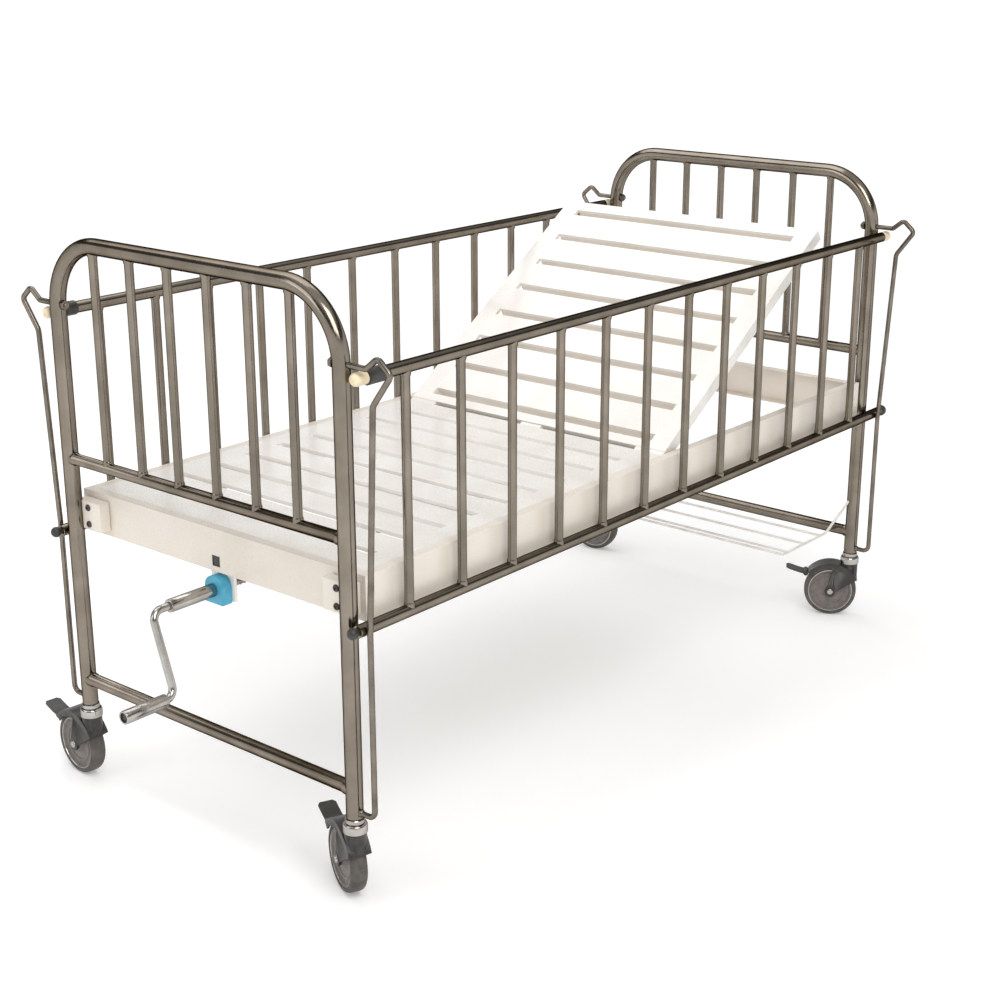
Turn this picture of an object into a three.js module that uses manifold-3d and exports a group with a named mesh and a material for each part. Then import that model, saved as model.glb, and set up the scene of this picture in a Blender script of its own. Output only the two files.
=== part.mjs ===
// Pediatric hospital cot: bent tube end frames on braked swivel casters, drop sides that slide on
// guide rods, and a slatted steel deck whose backrest is raised by a crank, a screw and a lever.
// Millimetres, +Z up, +X towards the head, origin on the floor under the middle of the whole cot.

import * as THREE from "three";
import { mergeVertices } from "three/addons/utils/BufferGeometryUtils.js";
import Module from "manifold-3d";

const wasm = await Module();
wasm.setup();

// Clearance between pieces that touch
const FIT = 0.3;

// End frames
const FRAME_LENGTH = 1690;
const FRAME_WIDTH = 710;
const ARCH_TUBE = 30;
const ARCH_WALL = 1.5;
const ARCH_BEND = 120;
const ARCH_ABOVE_RAIL = 135;
const LEG_FOOT = 158;
const END_RAIL_HEIGHT = 651;
const END_RAIL_TUBE = 22;
const END_BAR_COUNT = 6;
const END_BAR_PITCH = 98;
const CROSSBAR_HEIGHT = 210;
const CROSSBAR_TUBE = 25;
const TUBE_WALL = 1.2;

// Drop sides and their bars
const BAR_TUBE = 16;
const RAIL_TUBE = 22;
const RAIL_TOP = 918;
const RAIL_BOTTOM = 500;
const RAIL_LEG_GAP = 5;
const RAIL_TOP_INSET = 10;
const RAIL_BOTTOM_OVERHANG = 32;
const RAIL_BAR_COUNT = 12;
const RAIL_BAR_PITCH = 133.6;
const CAP_HEAD = 27;
const CAP_DIAMETER = 22;
const CAP_FACE = 15;
const KNOB_DIAMETER = 26;
const KNOB_START = 0.12;
const PLUG_DEPTH = 18;

// Guide rods with a hairpin crook over the raised rail
const ROD = 10;
const ROD_FOOT_ABOVE_LEG = 12;
const ROD_FOOT_BEND = 14;
const ROD_SET = 18;
const ROD_SET_BEND = 100;
const CROOK_LOW_BEND = 22;
const CROOK_NOSE = 16;
const CROOK_LEAN = 52;
const CROOK_FALL = 16;
const CROOK_NECK_DROP = 37;
const CROOK_RAIL_GAP = 4;
const ROD_NUT = 18;
const ROD_NUT_THICKNESS = 8;
const ROD_TIP = 3;

// Deck
const DECK_TOP = 583;
const DECK_DEPTH = 80;
const DECK_SETBACK = 30;
const DECK_RAIL_GAP = 10;
const DECK_FLANGE = 20;
const SHEET = 2;
const CROSS_WIDTH = 30;
const CROSS_DEPTH = 40;
const MID_CROSS_X = -445;
const HANDLE_SLOT = 20;
const HANDLE_SLOT_RISE = 20;
const BRACKET_HEIGHT = 56;
const BRACKET_INNER = 66;
const BRACKET_DEPTH = 24;

// Slatted panels
const SLAT_PITCH = 87;
const SLOT_WIDTH = 18;
const SLOT_LIP = 8;
const PANEL_MARGIN = 45;
const PANEL_EDGE = 36;
const FOOT_PANEL_RIM = 12;
const BACKREST_RIM = 25;

// Backrest and its hinge
const HINGE_X = 70;
const HINGE_ROD = 12;
const HINGE_BELOW_TOP = 18;
const HINGE_TUBE = 24;
const HINGE_BARREL = 70;
const BACKREST_LENGTH = 682;
const BACKREST_START = 8;
const BACKREST_SWING_GAP = 2;
const BACKREST_SIDE_GAP = 5;
const BACKREST_ANGLE = 33.3;
const BACKREST_MAX = 73.3;

// Crank, lead screw and push tube
const SCREW_BELOW_DECK = 31;
const SCREW = 16;
const SCREW_END = -150;
const SCREW_COLLAR = 26;
const SCREW_COLLAR_WIDTH = 8;
const BEARING_WIDTH = 46;
const BEARING_HEIGHT = 52;
const BEARING_THICKNESS = 23;
const HANGER_WIDTH = 60;
const HANGER_SHEET = 6;
const HANGER_BELOW_SCREW = 24;
const SLEEVE = 24;
const SLEEVE_LENGTH = 100;
const CRANK_ROD = 14;
const CRANK_ROD_LENGTH = 37;
const CRANK_ARM = 150;
const CRANK_BEND = 20;
const CRANK_TURN = -18.7;
const GRIP = 24;
const GRIP_LENGTH = 90;
const GRIP_CHAMFER = 2;
const GRIP_CUP = 12;
const NUT_SIZE = 42;
const NUT_LENGTH = 50;
const NUT_REST = -330;
const PUSH_TUBE = 30;
const PUSH_BORE = 22;
const PUSH_END = 20;
const CROSS_PIN = 12;
const LEVER_PLATE = 8;
const LEVER_WIDTH = 40;
const LEVER_PIN_PLAY = 3.3;
const LEVER_TIP = 18;
const LEVER_GAP = 4;

// Wire rack on the head crossbar
const WIRE = 6;
const RACK_WIDTH = 594;
const RACK_DEPTH = 197;
const RACK_SECOND_WIRE = 22;
const RACK_THIRD_WIRE = 97;
const RACK_LAST_WIRE = 24;
const RACK_BELOW_BAR = 12;
const RACK_STAY_RISE = 92;

// Casters
const WHEEL_RADIUS = 62.5;
const WHEEL_WIDTH = 30;
const TYRE_THICKNESS = 10;
const WHEEL_FACETS = 18;
const WHEEL_DISH = 6;
const HUB_RADIUS = 16;
const AXLE = 10;
const TRAIL = 42;
const HOOD_GAP = 4;
const HOOD_WALL = 4;
const CHEEK_GAP = 2;
const AXLE_BOSS = 13;
const HOOD_FRONT = 152;
const HOOD_REAR = 40;
const SWIVEL_RADIUS = 21;
const SWIVEL_RING = 17;
const SWIVEL_RING_HEIGHT = 9;
const STEM_DEPTH = 42;
const PEDAL_BOSS = 12;
const PEDAL_LENGTH = 52;
const PEDAL_WIDTH = 34;
const PEDAL_THICKNESS = 6;
const PEDAL_LIFT = 18;
const FOOT_NEAR_TRAIL = 65;
const FOOT_FAR_TRAIL = 85;
const HEAD_NEAR_TRAIL = 120;
const HEAD_FAR_TRAIL = 100;

// Facets of round pieces
const TUBE_SIDES = 12;
const BAR_SIDES = 8;
const WIRE_SIDES = 6;
const NUT_SIDES = 6;
const BORE_SIDES = 6;
const BEND_STEPS = 5;
const ROD_BEND_STEPS = 3;
const HOOD_STEPS = 4;

// Places worked out from the sizes above
const endX = FRAME_LENGTH / 2;
const legY = FRAME_WIDTH / 2;
const archRadius = ARCH_TUBE / 2;
const railRadius = RAIL_TUBE / 2;
const barRadius = BAR_TUBE / 2;
const rodRadius = ROD / 2;
const archTop = RAIL_TOP + ARCH_ABOVE_RAIL;
const railY = legY + archRadius + RAIL_LEG_GAP + railRadius;
const rodY = railY + railRadius + rodRadius;
const deckEndX = endX - DECK_SETBACK;
const deckHalf = railY - railRadius - DECK_RAIL_GAP;
const deckBottom = DECK_TOP - DECK_DEPTH;
const footPanelHalf = deckHalf - DECK_FLANGE - FIT;
const backrestHalf = deckHalf - DECK_FLANGE - BACKREST_SIDE_GAP;
const hingeZ = DECK_TOP - HINGE_BELOW_TOP;
const hingeReach = Math.hypot(BACKREST_START, HINGE_BELOW_TOP) + BACKREST_SWING_GAP;
const crossTop = DECK_TOP - FOOT_PANEL_RIM - FIT;
const screwZ = deckBottom - SCREW_BELOW_DECK;
const leverMid = THREE.MathUtils.degToRad(BACKREST_MAX / 2);
const leverRest = THREE.MathUtils.degToRad(BACKREST_ANGLE) - leverMid;
const leverDrop = hingeZ - screwZ;
const pinX = HINGE_X + leverDrop * Math.tan(leverRest);
const hangerX = -deckEndX + DECK_FLANGE - HANGER_SHEET;
const bearingFrontX = hangerX - FIT - BEARING_THICKNESS;
const sleeveFrontX = bearingFrontX - 2 * FIT - SLEEVE_LENGTH;
const crankArmX = sleeveFrontX - CRANK_ROD_LENGTH;
const gripBackX = crankArmX - CRANK_BEND - FIT;
const wheelCentreZ = WHEEL_RADIUS * Math.cos(Math.PI / WHEEL_FACETS);

// Finishes
const finish = (color, roughness, metalness) =>
  new THREE.MeshStandardMaterial({ color, roughness, metalness });
const steel = finish("#8d857a", 0.32, 0.9);
const rodSteel = finish("#57534c", 0.4, 0.85);
const chrome = finish("#c9c7c2", 0.15, 1);
const screwSteel = finish("#4a4744", 0.45, 0.8);
const enamel = finish("#f0ebe4", 0.4, 0);
const beigeEnamel = finish("#e3d9ca", 0.4, 0);
const creamPlastic = finish("#f3e4c4", 0.5, 0);
const bluePlastic = finish("#52aac8", 0.45, 0);
const darkPlastic = finish("#35322f", 0.5, 0);
const greyPlastic = finish("#6f665f", 0.5, 0);
const tyreRubber = finish("#2b2826", 0.7, 0);
const whiteWire = finish("#e9e4dc", 0.45, 0.2);

// Solids and boolean steps
function solid(geometry) {
  const bare = geometry.clone();
  bare.deleteAttribute("normal");
  bare.deleteAttribute("uv");
  const merged = mergeVertices(bare);
  return new wasm.Manifold(new wasm.Mesh({
    numProp: 3,
    vertProperties: new Float32Array(merged.attributes.position.array),
    triVerts: new Uint32Array(merged.index.array),
  }));
}

function geometryOf(body) {
  const mesh = body.getMesh();
  const geometry = new THREE.BufferGeometry();
  geometry.setAttribute("position", new THREE.BufferAttribute(mesh.vertProperties, 3));
  geometry.setIndex(new THREE.BufferAttribute(mesh.triVerts, 1));
  geometry.computeVertexNormals();
  return geometry;
}

function join(geometries) {
  return geometries.map(solid).reduce((whole, piece) => whole.add(piece));
}

function shaped(added, removed) {
  const whole = join(added);
  return geometryOf(removed.length > 0 ? whole.subtract(join(removed)) : whole);
}

// Basic forms
const at = (x, y, z) => new THREE.Vector3(x, y, z);

function block(low, high) {
  const size = high.clone().sub(low);
  const middle = low.clone().add(high).multiplyScalar(0.5);
  return new THREE.BoxGeometry(size.x, size.y, size.z).translate(middle.x, middle.y, middle.z);
}

function bar(from, to, radius, sides) {
  const along = to.clone().sub(from);
  const middle = from.clone().add(to).multiplyScalar(0.5);
  const turn = new THREE.Quaternion().setFromUnitVectors(at(0, 1, 0), along.clone().normalize());
  return new THREE.CylinderGeometry(radius, radius, along.length(), sides)
    .applyQuaternion(turn)
    .translate(middle.x, middle.y, middle.z);
}

function polygon(radius, sides) {
  return Array.from({ length: sides }, (_, index) => {
    const angle = ((index + 0.5) / sides) * 2 * Math.PI;
    return new THREE.Vector2(radius * Math.cos(angle), radius * Math.sin(angle));
  });
}

function plate(shape, thickness, curveSegments = BEND_STEPS) {
  return new THREE.ExtrudeGeometry(shape, { depth: thickness, bevelEnabled: false, curveSegments });
}

// A profile of radius and height points turned about Z, then laid along X
function turnedAlongX(profile, facets) {
  const points = profile.map(([radius, height]) => new THREE.Vector2(radius, height));
  return new THREE.LatheGeometry(points, facets).rotateZ(-Math.PI / 2);
}

// A path that passes through its stations, with a ring of the swept tube at each one
class StationPath extends THREE.Curve {
  constructor(stations) {
    super();
    this.stations = stations;
  }

  getPoint(t, target = new THREE.Vector3()) {
    const place = t * (this.stations.length - 1);
    const index = Math.min(Math.floor(place), this.stations.length - 2);
    return target.lerpVectors(this.stations[index], this.stations[index + 1], place - index);
  }

  getUtoTmapping(u) {
    return u;
  }
}

function bent(corners, radii, steps) {
  const stations = [corners[0]];
  for (let index = 1; index < corners.length - 1; index += 1) {
    const corner = corners[index];
    const radius = radii[index - 1];
    const back = corners[index - 1].clone().sub(corner).normalize();
    const ahead = corners[index + 1].clone().sub(corner).normalize();
    const half = back.angleTo(ahead) / 2;
    const start = corner.clone().addScaledVector(back, radius / Math.tan(half));
    const inward = back.clone().add(ahead).normalize();
    const centre = corner.clone().addScaledVector(inward, radius / Math.sin(half));
    const spoke = start.clone().sub(centre);
    for (let step = 0; step <= steps; step += 1) {
      const angle = ((Math.PI - 2 * half) * step) / steps;
      stations.push(centre.clone()
        .addScaledVector(spoke, Math.cos(angle))
        .addScaledVector(back, -radius * Math.sin(angle)));
    }
  }
  stations.push(corners[corners.length - 1]);
  return stations;
}

function swept(stations, radius, sides, bore = 0) {
  const section = new THREE.Shape(polygon(radius, sides));
  if (bore > 0) section.holes.push(new THREE.Path(polygon(bore, BORE_SIDES)));
  return new THREE.ExtrudeGeometry(section, {
    steps: stations.length - 1,
    extrudePath: new StationPath(stations),
    bevelEnabled: false,
  });
}

// Scene graph
const cot = new THREE.Group();

function place(parent, name, geometry, material) {
  const mesh = new THREE.Mesh(geometry, material);
  mesh.name = name;
  parent.add(mesh);
  return mesh;
}

// End frames: a bent arch that is also both legs, a barred panel and a low crossbar
const crookZ = RAIL_TOP + railRadius + CROOK_RAIL_GAP + rodRadius;

function archStations(x) {
  const near = [at(x, -legY, LEG_FOOT), at(x, -legY, archTop)];
  const far = [at(x, legY, archTop), at(x, legY, LEG_FOOT)];
  return bent([...near, ...far], [ARCH_BEND, ARCH_BEND], BEND_STEPS);
}

function arch(x) {
  const tube = swept(archStations(x), archRadius, TUBE_SIDES, archRadius - ARCH_WALL);
  const rodHole = bar(at(x, -2 * legY, crookZ), at(x, 2 * legY, crookZ), rodRadius + 2 * FIT, BAR_SIDES);
  return shaped([tube], [rodHole]);
}

function archClearance(x) {
  return swept(archStations(x), archRadius + FIT, TUBE_SIDES);
}

function barredPanel(x) {
  const from = at(x, -legY, END_RAIL_HEIGHT);
  const to = at(x, legY, END_RAIL_HEIGHT);
  const outer = [bar(from, to, END_RAIL_TUBE / 2, TUBE_SIDES)];
  const bores = [bar(from, to, END_RAIL_TUBE / 2 - TUBE_WALL, BORE_SIDES)];
  for (let index = 0; index < END_BAR_COUNT; index += 1) {
    const y = (index - (END_BAR_COUNT - 1) / 2) * END_BAR_PITCH;
    outer.push(bar(at(x, y, END_RAIL_HEIGHT), at(x, y, archTop), barRadius, BAR_SIDES));
    bores.push(bar(at(x, y, END_RAIL_HEIGHT), at(x, y, archTop), barRadius - TUBE_WALL, BORE_SIDES));
  }
  return shaped(outer, [...bores, archClearance(x)]);
}

function crossbar(x) {
  const from = at(x, -legY, CROSSBAR_HEIGHT);
  const to = at(x, legY, CROSSBAR_HEIGHT);
  const bore = bar(from, to, CROSSBAR_TUBE / 2 - TUBE_WALL, BORE_SIDES);
  return shaped([bar(from, to, CROSSBAR_TUBE / 2, TUBE_SIDES)], [bore, archClearance(x)]);
}

for (const [end, x] of [["foot", -endX], ["head", endX]]) {
  place(cot, `${end}_arch`, arch(x), steel);
  place(cot, `${end}_barred_panel`, barredPanel(x), steel);
  place(cot, `${end}_crossbar`, crossbar(x), steel);
}

// Guide rods: welded to the leg's foot, crooked over the raised rail, bolted through the leg.
// The lower rail slides along the rod's inner flat, which leaves its running clearance, and above it
// the rod is set outwards.
function guideRod(x, side) {
  const lean = THREE.MathUtils.degToRad(CROOK_LEAN);
  const fall = THREE.MathUtils.degToRad(CROOK_FALL);
  const footZ = LEG_FOOT + ROD_FOOT_ABOVE_LEG;
  const neckZ = RAIL_TOP - CROOK_NECK_DROP;
  const neckY = rodY + ROD_SET;
  const noseRun = (crookZ - neckZ + (neckY - railY) * Math.tan(fall)) / (Math.tan(lean) - Math.tan(fall));
  const boltEnd = legY - archRadius - FIT - ROD_NUT_THICKNESS - ROD_TIP;
  const corners = [
    at(x, side * (legY + archRadius + FIT), footZ),
    at(x, side * rodY, footZ),
    at(x, side * rodY, RAIL_BOTTOM),
    at(x, side * neckY, neckZ),
    at(x, side * (neckY + noseRun), neckZ + noseRun * Math.tan(lean)),
    at(x, side * railY, crookZ),
    at(x, side * boltEnd, crookZ),
  ];
  const radii = [ROD_FOOT_BEND, ROD_SET_BEND, CROOK_LOW_BEND, CROOK_NOSE, CROOK_LOW_BEND];
  const rod = swept(bent(corners, radii, ROD_BEND_STEPS), rodRadius, BAR_SIDES);
  const nut = bar(at(x, side * legY, crookZ), at(x, side * (boltEnd + ROD_TIP), crookZ),
    ROD_NUT / 2, NUT_SIDES);
  return geometryOf(join([nut]).subtract(solid(archClearance(x))).add(solid(rod)));
}

const corners = [
  ["foot_near", -1, -1, FOOT_NEAR_TRAIL],
  ["foot_far", -1, 1, FOOT_FAR_TRAIL],
  ["head_near", 1, -1, HEAD_NEAR_TRAIL],
  ["head_far", 1, 1, HEAD_FAR_TRAIL],
];

for (const [corner, end, side] of corners) {
  place(cot, `guide_rod_${corner}`, guideRod(end * endX, side), rodSteel);
}

// Drop sides: two rails joined by bars, with plugs in the ends of both rails
const topRailEnd = endX - RAIL_TOP_INSET;
const bottomRailEnd = endX + RAIL_BOTTOM_OVERHANG;

function dropSide(y) {
  const tubes = [];
  const bores = [];
  for (const [reach, z] of [[topRailEnd, RAIL_TOP], [bottomRailEnd, RAIL_BOTTOM]]) {
    tubes.push(bar(at(-reach, y, z), at(reach, y, z), railRadius, TUBE_SIDES));
    bores.push(bar(at(-reach - 1, y, z), at(reach + 1, y, z), railRadius - TUBE_WALL, BORE_SIDES));
  }
  for (let index = 0; index < RAIL_BAR_COUNT; index += 1) {
    const x = (index - (RAIL_BAR_COUNT - 1) / 2) * RAIL_BAR_PITCH;
    tubes.push(bar(at(x, y, RAIL_BOTTOM), at(x, y, RAIL_TOP), barRadius, BAR_SIDES));
    bores.push(bar(at(x, y, RAIL_BOTTOM), at(x, y, RAIL_TOP), barRadius - TUBE_WALL, BORE_SIDES));
  }
  return shaped(tubes, bores);
}

const plugRadius = (railRadius - TUBE_WALL) * Math.cos(Math.PI / BORE_SIDES) - FIT;

function railCap() {
  const head = CAP_DIAMETER / 2;
  return turnedAlongX([
    [0, -PLUG_DEPTH],
    [plugRadius, -PLUG_DEPTH],
    [plugRadius, FIT],
    [head, FIT],
    [head, CAP_HEAD - head / 4],
    [CAP_FACE / 2, CAP_HEAD],
    [0, CAP_HEAD],
  ], TUBE_SIDES);
}

function railKnob() {
  const ball = KNOB_DIAMETER / 2;
  const profile = [[0, -PLUG_DEPTH], [plugRadius, -PLUG_DEPTH], [plugRadius, FIT]];
  for (let step = 1; step <= BEND_STEPS; step += 1) {
    const angle = Math.PI * (step / BEND_STEPS - KNOB_START * (1 - step / BEND_STEPS));
    profile.push([Math.max(ball * Math.sin(angle), 0), FIT + ball - ball * Math.cos(angle)]);
  }
  return turnedAlongX(profile, TUBE_SIDES);
}

for (const [name, side] of [["near", -1], ["far", 1]]) {
  place(cot, `${name}_drop_side`, dropSide(side * railY), steel);
  for (const [end, sign] of [["foot", -1], ["head", 1]]) {
    const cap = place(cot, `${name}_rail_cap_${end}`, railCap(), creamPlastic);
    cap.position.set(sign * topRailEnd, side * railY, RAIL_TOP);
    cap.rotation.z = sign > 0 ? 0 : Math.PI;
    const knob = place(cot, `${name}_rail_knob_${end}`, railKnob(), darkPlastic);
    knob.position.set(sign * bottomRailEnd, side * railY, RAIL_BOTTOM);
    knob.rotation.z = sign > 0 ? 0 : Math.PI;
  }
}

// Deck: folded sheet members, box cross members and corner brackets to the legs
function deckSide(side) {
  const reach = deckEndX - DECK_FLANGE - FIT;
  const outer = block(at(-reach, deckHalf - DECK_FLANGE, deckBottom), at(reach, deckHalf, DECK_TOP));
  const hollow = block(at(-reach + SHEET, deckHalf - 2 * DECK_FLANGE, deckBottom + SHEET),
    at(reach - SHEET, deckHalf - SHEET, DECK_TOP - SHEET));
  return shaped([outer], [hollow]).rotateZ(side > 0 ? 0 : Math.PI);
}

function deckEnd(end, cutters) {
  const outer = block(at(deckEndX - DECK_FLANGE, -deckHalf, deckBottom), at(deckEndX, deckHalf, DECK_TOP));
  const hollow = block(at(deckEndX - 2 * DECK_FLANGE, -deckHalf + SHEET, deckBottom + SHEET),
    at(deckEndX - SHEET, deckHalf - SHEET, DECK_TOP - SHEET));
  return shaped([outer], [hollow, ...cutters]).rotateZ(end > 0 ? 0 : Math.PI);
}

function crossMember(x) {
  const reach = deckHalf - SHEET - FIT;
  const low = at(x - CROSS_WIDTH / 2, -reach, crossTop - CROSS_DEPTH);
  const high = at(x + CROSS_WIDTH / 2, reach, crossTop);
  const bore = block(at(low.x + SHEET, low.y - 1, low.z + SHEET),
    at(high.x - SHEET, high.y + 1, high.z - SHEET));
  return shaped([block(low, high)], [bore]);
}

function cornerBracket(end, side) {
  const z = DECK_TOP - DECK_DEPTH / 2;
  const body = block(at(deckEndX + FIT, legY - BRACKET_INNER, z - BRACKET_HEIGHT / 2),
    at(deckEndX + BRACKET_DEPTH, legY, z + BRACKET_HEIGHT / 2));
  const mirror = new THREE.Matrix4().makeScale(end, side, 1);
  const piece = shaped([body], [archClearance(endX)]).applyMatrix4(mirror);
  if (end * side < 0) piece.setIndex(Array.from(piece.index.array).reverse());
  return piece;
}

const slotZ = deckBottom + HANDLE_SLOT_RISE;
const handleSlot = block(at(deckEndX - DECK_FLANGE / 2, -HANDLE_SLOT / 2, slotZ - HANDLE_SLOT / 2),
  at(deckEndX + 1, HANDLE_SLOT / 2, slotZ + HANDLE_SLOT / 2));
const hingeCrossX = HINGE_X - LEVER_WIDTH - CROSS_WIDTH;

place(cot, "deck_side_near", deckSide(-1), beigeEnamel);
place(cot, "deck_side_far", deckSide(1), beigeEnamel);
place(cot, "deck_end_foot", deckEnd(-1, [handleSlot]), enamel);
place(cot, "deck_end_head", deckEnd(1, []), beigeEnamel);
place(cot, "deck_cross_member_hinge", crossMember(hingeCrossX), enamel);
place(cot, "deck_cross_member_middle", crossMember(MID_CROSS_X), enamel);
for (const [corner, end, side] of corners) {
  place(cot, `deck_bracket_${corner}`, cornerBracket(end, side), creamPlastic);
}

// Slatted panel: pressed sheet with turned-down slots and rim, from X 0 to its length, top at Z 0
function slattedPanel(length, halfWidth, rim, slots) {
  const slotHalf = halfWidth - PANEL_MARGIN;
  const slotBox = (x, margin, low, high) => block(
    at(x - SLOT_WIDTH / 2 - margin, -slotHalf - margin, low),
    at(x + SLOT_WIDTH / 2 + margin, slotHalf + margin, high),
  );
  const tray = shaped([block(at(0, -halfWidth, -rim), at(length, halfWidth, 0))],
    [block(at(SHEET, SHEET - halfWidth, -rim - 1), at(length - SHEET, halfWidth - SHEET, -SHEET))]);
  const lips = slots.map((x) => slotBox(x, SHEET, -SLOT_LIP, -SHEET / 2));
  const cuts = slots.map((x) => slotBox(x, 0, -SLOT_LIP - 1, 1));
  return shaped([tray, ...lips], cuts);
}

function slotPlaces(first, length) {
  const count = Math.floor((length - first - SLOT_WIDTH) / SLAT_PITCH) + 1;
  return Array.from({ length: count }, (_, index) => first + index * SLAT_PITCH);
}

const footPanelHead = HINGE_X - hingeReach;
const footPanelFoot = -deckEndX + DECK_FLANGE + FIT;
const footPanelLength = footPanelHead - footPanelFoot;
const footSlots = slotPlaces(SLAT_PITCH - SLOT_WIDTH / 2, footPanelLength - PANEL_EDGE)
  .map((fromHead) => footPanelLength - fromHead);
const footPanel = slattedPanel(footPanelLength, footPanelHalf, FOOT_PANEL_RIM, footSlots);
place(cot, "foot_slat_panel", footPanel, enamel).position.set(footPanelFoot, 0, DECK_TOP);

// Hinge rod across the deck and the backrest that turns on it
const hingeHole = HINGE_ROD / 2 + 2 * FIT;
const rodReach = deckHalf - SHEET - FIT;
place(cot, "hinge_rod", bar(at(HINGE_X, -rodReach, hingeZ), at(HINGE_X, rodReach, hingeZ),
  HINGE_ROD / 2, TUBE_SIDES), chrome);

const backrest = new THREE.Group();
backrest.position.set(HINGE_X, 0, hingeZ);
backrest.rotation.y = -THREE.MathUtils.degToRad(BACKREST_ANGLE);
cot.add(backrest);

const hingeBore = () => bar(at(0, -deckHalf, 0), at(0, deckHalf, 0), hingeHole, TUBE_SIDES);

function backrestPanel() {
  const panelLength = BACKREST_LENGTH - BACKREST_START;
  const slots = slotPlaces(PANEL_EDGE, panelLength).map((fromTop) => panelLength - fromTop);
  const panel = slattedPanel(panelLength, backrestHalf, BACKREST_RIM, slots);
  const pieces = [panel.translate(BACKREST_START, 0, HINGE_BELOW_TOP)];
  for (const side of [-1, 1]) {
    const inner = side * (backrestHalf - HINGE_BARREL);
    const outer = side * backrestHalf;
    pieces.push(bar(at(0, inner, 0), at(0, outer, 0), HINGE_TUBE / 2, TUBE_SIDES));
    pieces.push(block(at(-HINGE_TUBE / 6, Math.min(inner, outer), 0),
      at(HINGE_TUBE / 2, Math.max(inner, outer), HINGE_BELOW_TOP - SHEET / 2)));
  }
  return shaped(pieces, [hingeBore()]);
}

const plateFace = PUSH_TUBE / 2 + LEVER_GAP;

function lever() {
  const pinHalf = CROSS_PIN / 2 + LEVER_PIN_PLAY;
  const slotStart = leverDrop - CROSS_PIN / 2 - LEVER_PIN_PLAY;
  const tip = leverDrop / Math.cos(leverMid) + LEVER_TIP;
  const half = LEVER_WIDTH / 2;
  const fork = new THREE.Shape();
  fork.moveTo(-half, -tip);
  fork.lineTo(-pinHalf, -tip);
  fork.lineTo(-pinHalf, -slotStart);
  fork.absarc(0, -slotStart, pinHalf, Math.PI, 0, true);
  fork.lineTo(pinHalf, -tip);
  fork.lineTo(half, -tip);
  fork.lineTo(half, -slotStart);
  fork.lineTo(HINGE_TUBE / 2, 0);
  fork.absarc(0, 0, HINGE_TUBE / 2, 0, Math.PI, false);
  fork.lineTo(-half, -slotStart);
  const pieces = [];
  for (const y of [-plateFace, plateFace + LEVER_PLATE]) {
    const flat = plate(fork, LEVER_PLATE, ROD_BEND_STEPS).rotateX(Math.PI / 2);
    pieces.push(flat.translate(0, y, 0).rotateY(leverMid));
  }
  const width = plateFace + LEVER_PLATE;
  pieces.push(bar(at(0, -width, 0), at(0, width, 0), HINGE_TUBE / 2, TUBE_SIDES));
  pieces.push(block(at(-HINGE_TUBE / 6, -width, 0),
    at(HINGE_TUBE / 2, width, HINGE_BELOW_TOP - SHEET - FIT)));
  return shaped(pieces, [
    hingeBore(),
    block(at(BACKREST_START - FIT, -width - 1, HINGE_BELOW_TOP - BACKREST_RIM - 1),
      at(HINGE_TUBE, width + 1, HINGE_BELOW_TOP)),
  ]);
}

place(backrest, "backrest_slat_panel", backrestPanel(), enamel);
place(backrest, "backrest_lever", lever(), screwSteel);

// Crank, bearing and lead screw on one axis under the deck
const screwBore = SCREW / 2 + 2 * FIT;

function hanger(x, top) {
  const low = at(x, -HANGER_WIDTH / 2, screwZ - HANGER_BELOW_SCREW);
  const bore = bar(at(x - 1, 0, screwZ), at(x + HANGER_SHEET + 1, 0, screwZ), screwBore, TUBE_SIDES);
  return shaped([block(low, at(x + HANGER_SHEET, HANGER_WIDTH / 2, top))], [bore]);
}

function crankBearing() {
  const half = BEARING_WIDTH / 2;
  const outline = new THREE.Shape();
  outline.moveTo(-half, -BEARING_HEIGHT / 2);
  outline.lineTo(half, -BEARING_HEIGHT / 2);
  outline.lineTo(half, BEARING_HEIGHT / 2 - half);
  outline.absarc(0, BEARING_HEIGHT / 2 - half, half, 0, Math.PI, false);
  outline.holes.push(new THREE.Path(polygon(screwBore, TUBE_SIDES)));
  return plate(outline, BEARING_THICKNESS).rotateX(Math.PI / 2).rotateZ(Math.PI / 2);
}

function leadScrew() {
  const collarX = hangerX + HANGER_SHEET + FIT;
  return shaped([
    bar(at(bearingFrontX - FIT, 0, 0), at(SCREW_END, 0, 0), SCREW / 2, TUBE_SIDES),
    bar(at(collarX, 0, 0), at(collarX + SCREW_COLLAR_WIDTH, 0, 0), SCREW_COLLAR / 2, TUBE_SIDES),
  ], []);
}

function crankHandle() {
  const path = bent([
    at(sleeveFrontX + CRANK_ROD, 0, 0),
    at(crankArmX, 0, 0),
    at(crankArmX, 0, -CRANK_ARM),
    at(gripBackX - GRIP_LENGTH + GRIP_CUP, 0, -CRANK_ARM),
  ], [CRANK_BEND, CRANK_BEND], BEND_STEPS);
  const sleeve = bar(at(sleeveFrontX, 0, 0), at(sleeveFrontX + SLEEVE_LENGTH, 0, 0), SLEEVE / 2, TUBE_SIDES);
  return shaped([sleeve, swept(path, CRANK_ROD / 2, TUBE_SIDES)], []);
}

function crankGrip() {
  const bore = CRANK_ROD / 2 + FIT;
  const outer = GRIP / 2;
  return turnedAlongX([
    [bore, 0],
    [outer - GRIP_CHAMFER, 0],
    [outer, GRIP_CHAMFER],
    [outer, GRIP_LENGTH - GRIP_CHAMFER],
    [outer - GRIP_CHAMFER, GRIP_LENGTH],
    [bore, GRIP_LENGTH],
    [bore, 0],
  ], TUBE_SIDES);
}

place(cot, "crank_hanger", hanger(hangerX, deckBottom - FIT), enamel);
place(cot, "screw_hanger", hanger(MID_CROSS_X - HANGER_SHEET / 2, crossTop - CROSS_DEPTH - FIT), enamel);
place(cot, "crank_bearing", crankBearing(), bluePlastic).position.set(bearingFrontX, 0, screwZ);

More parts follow.
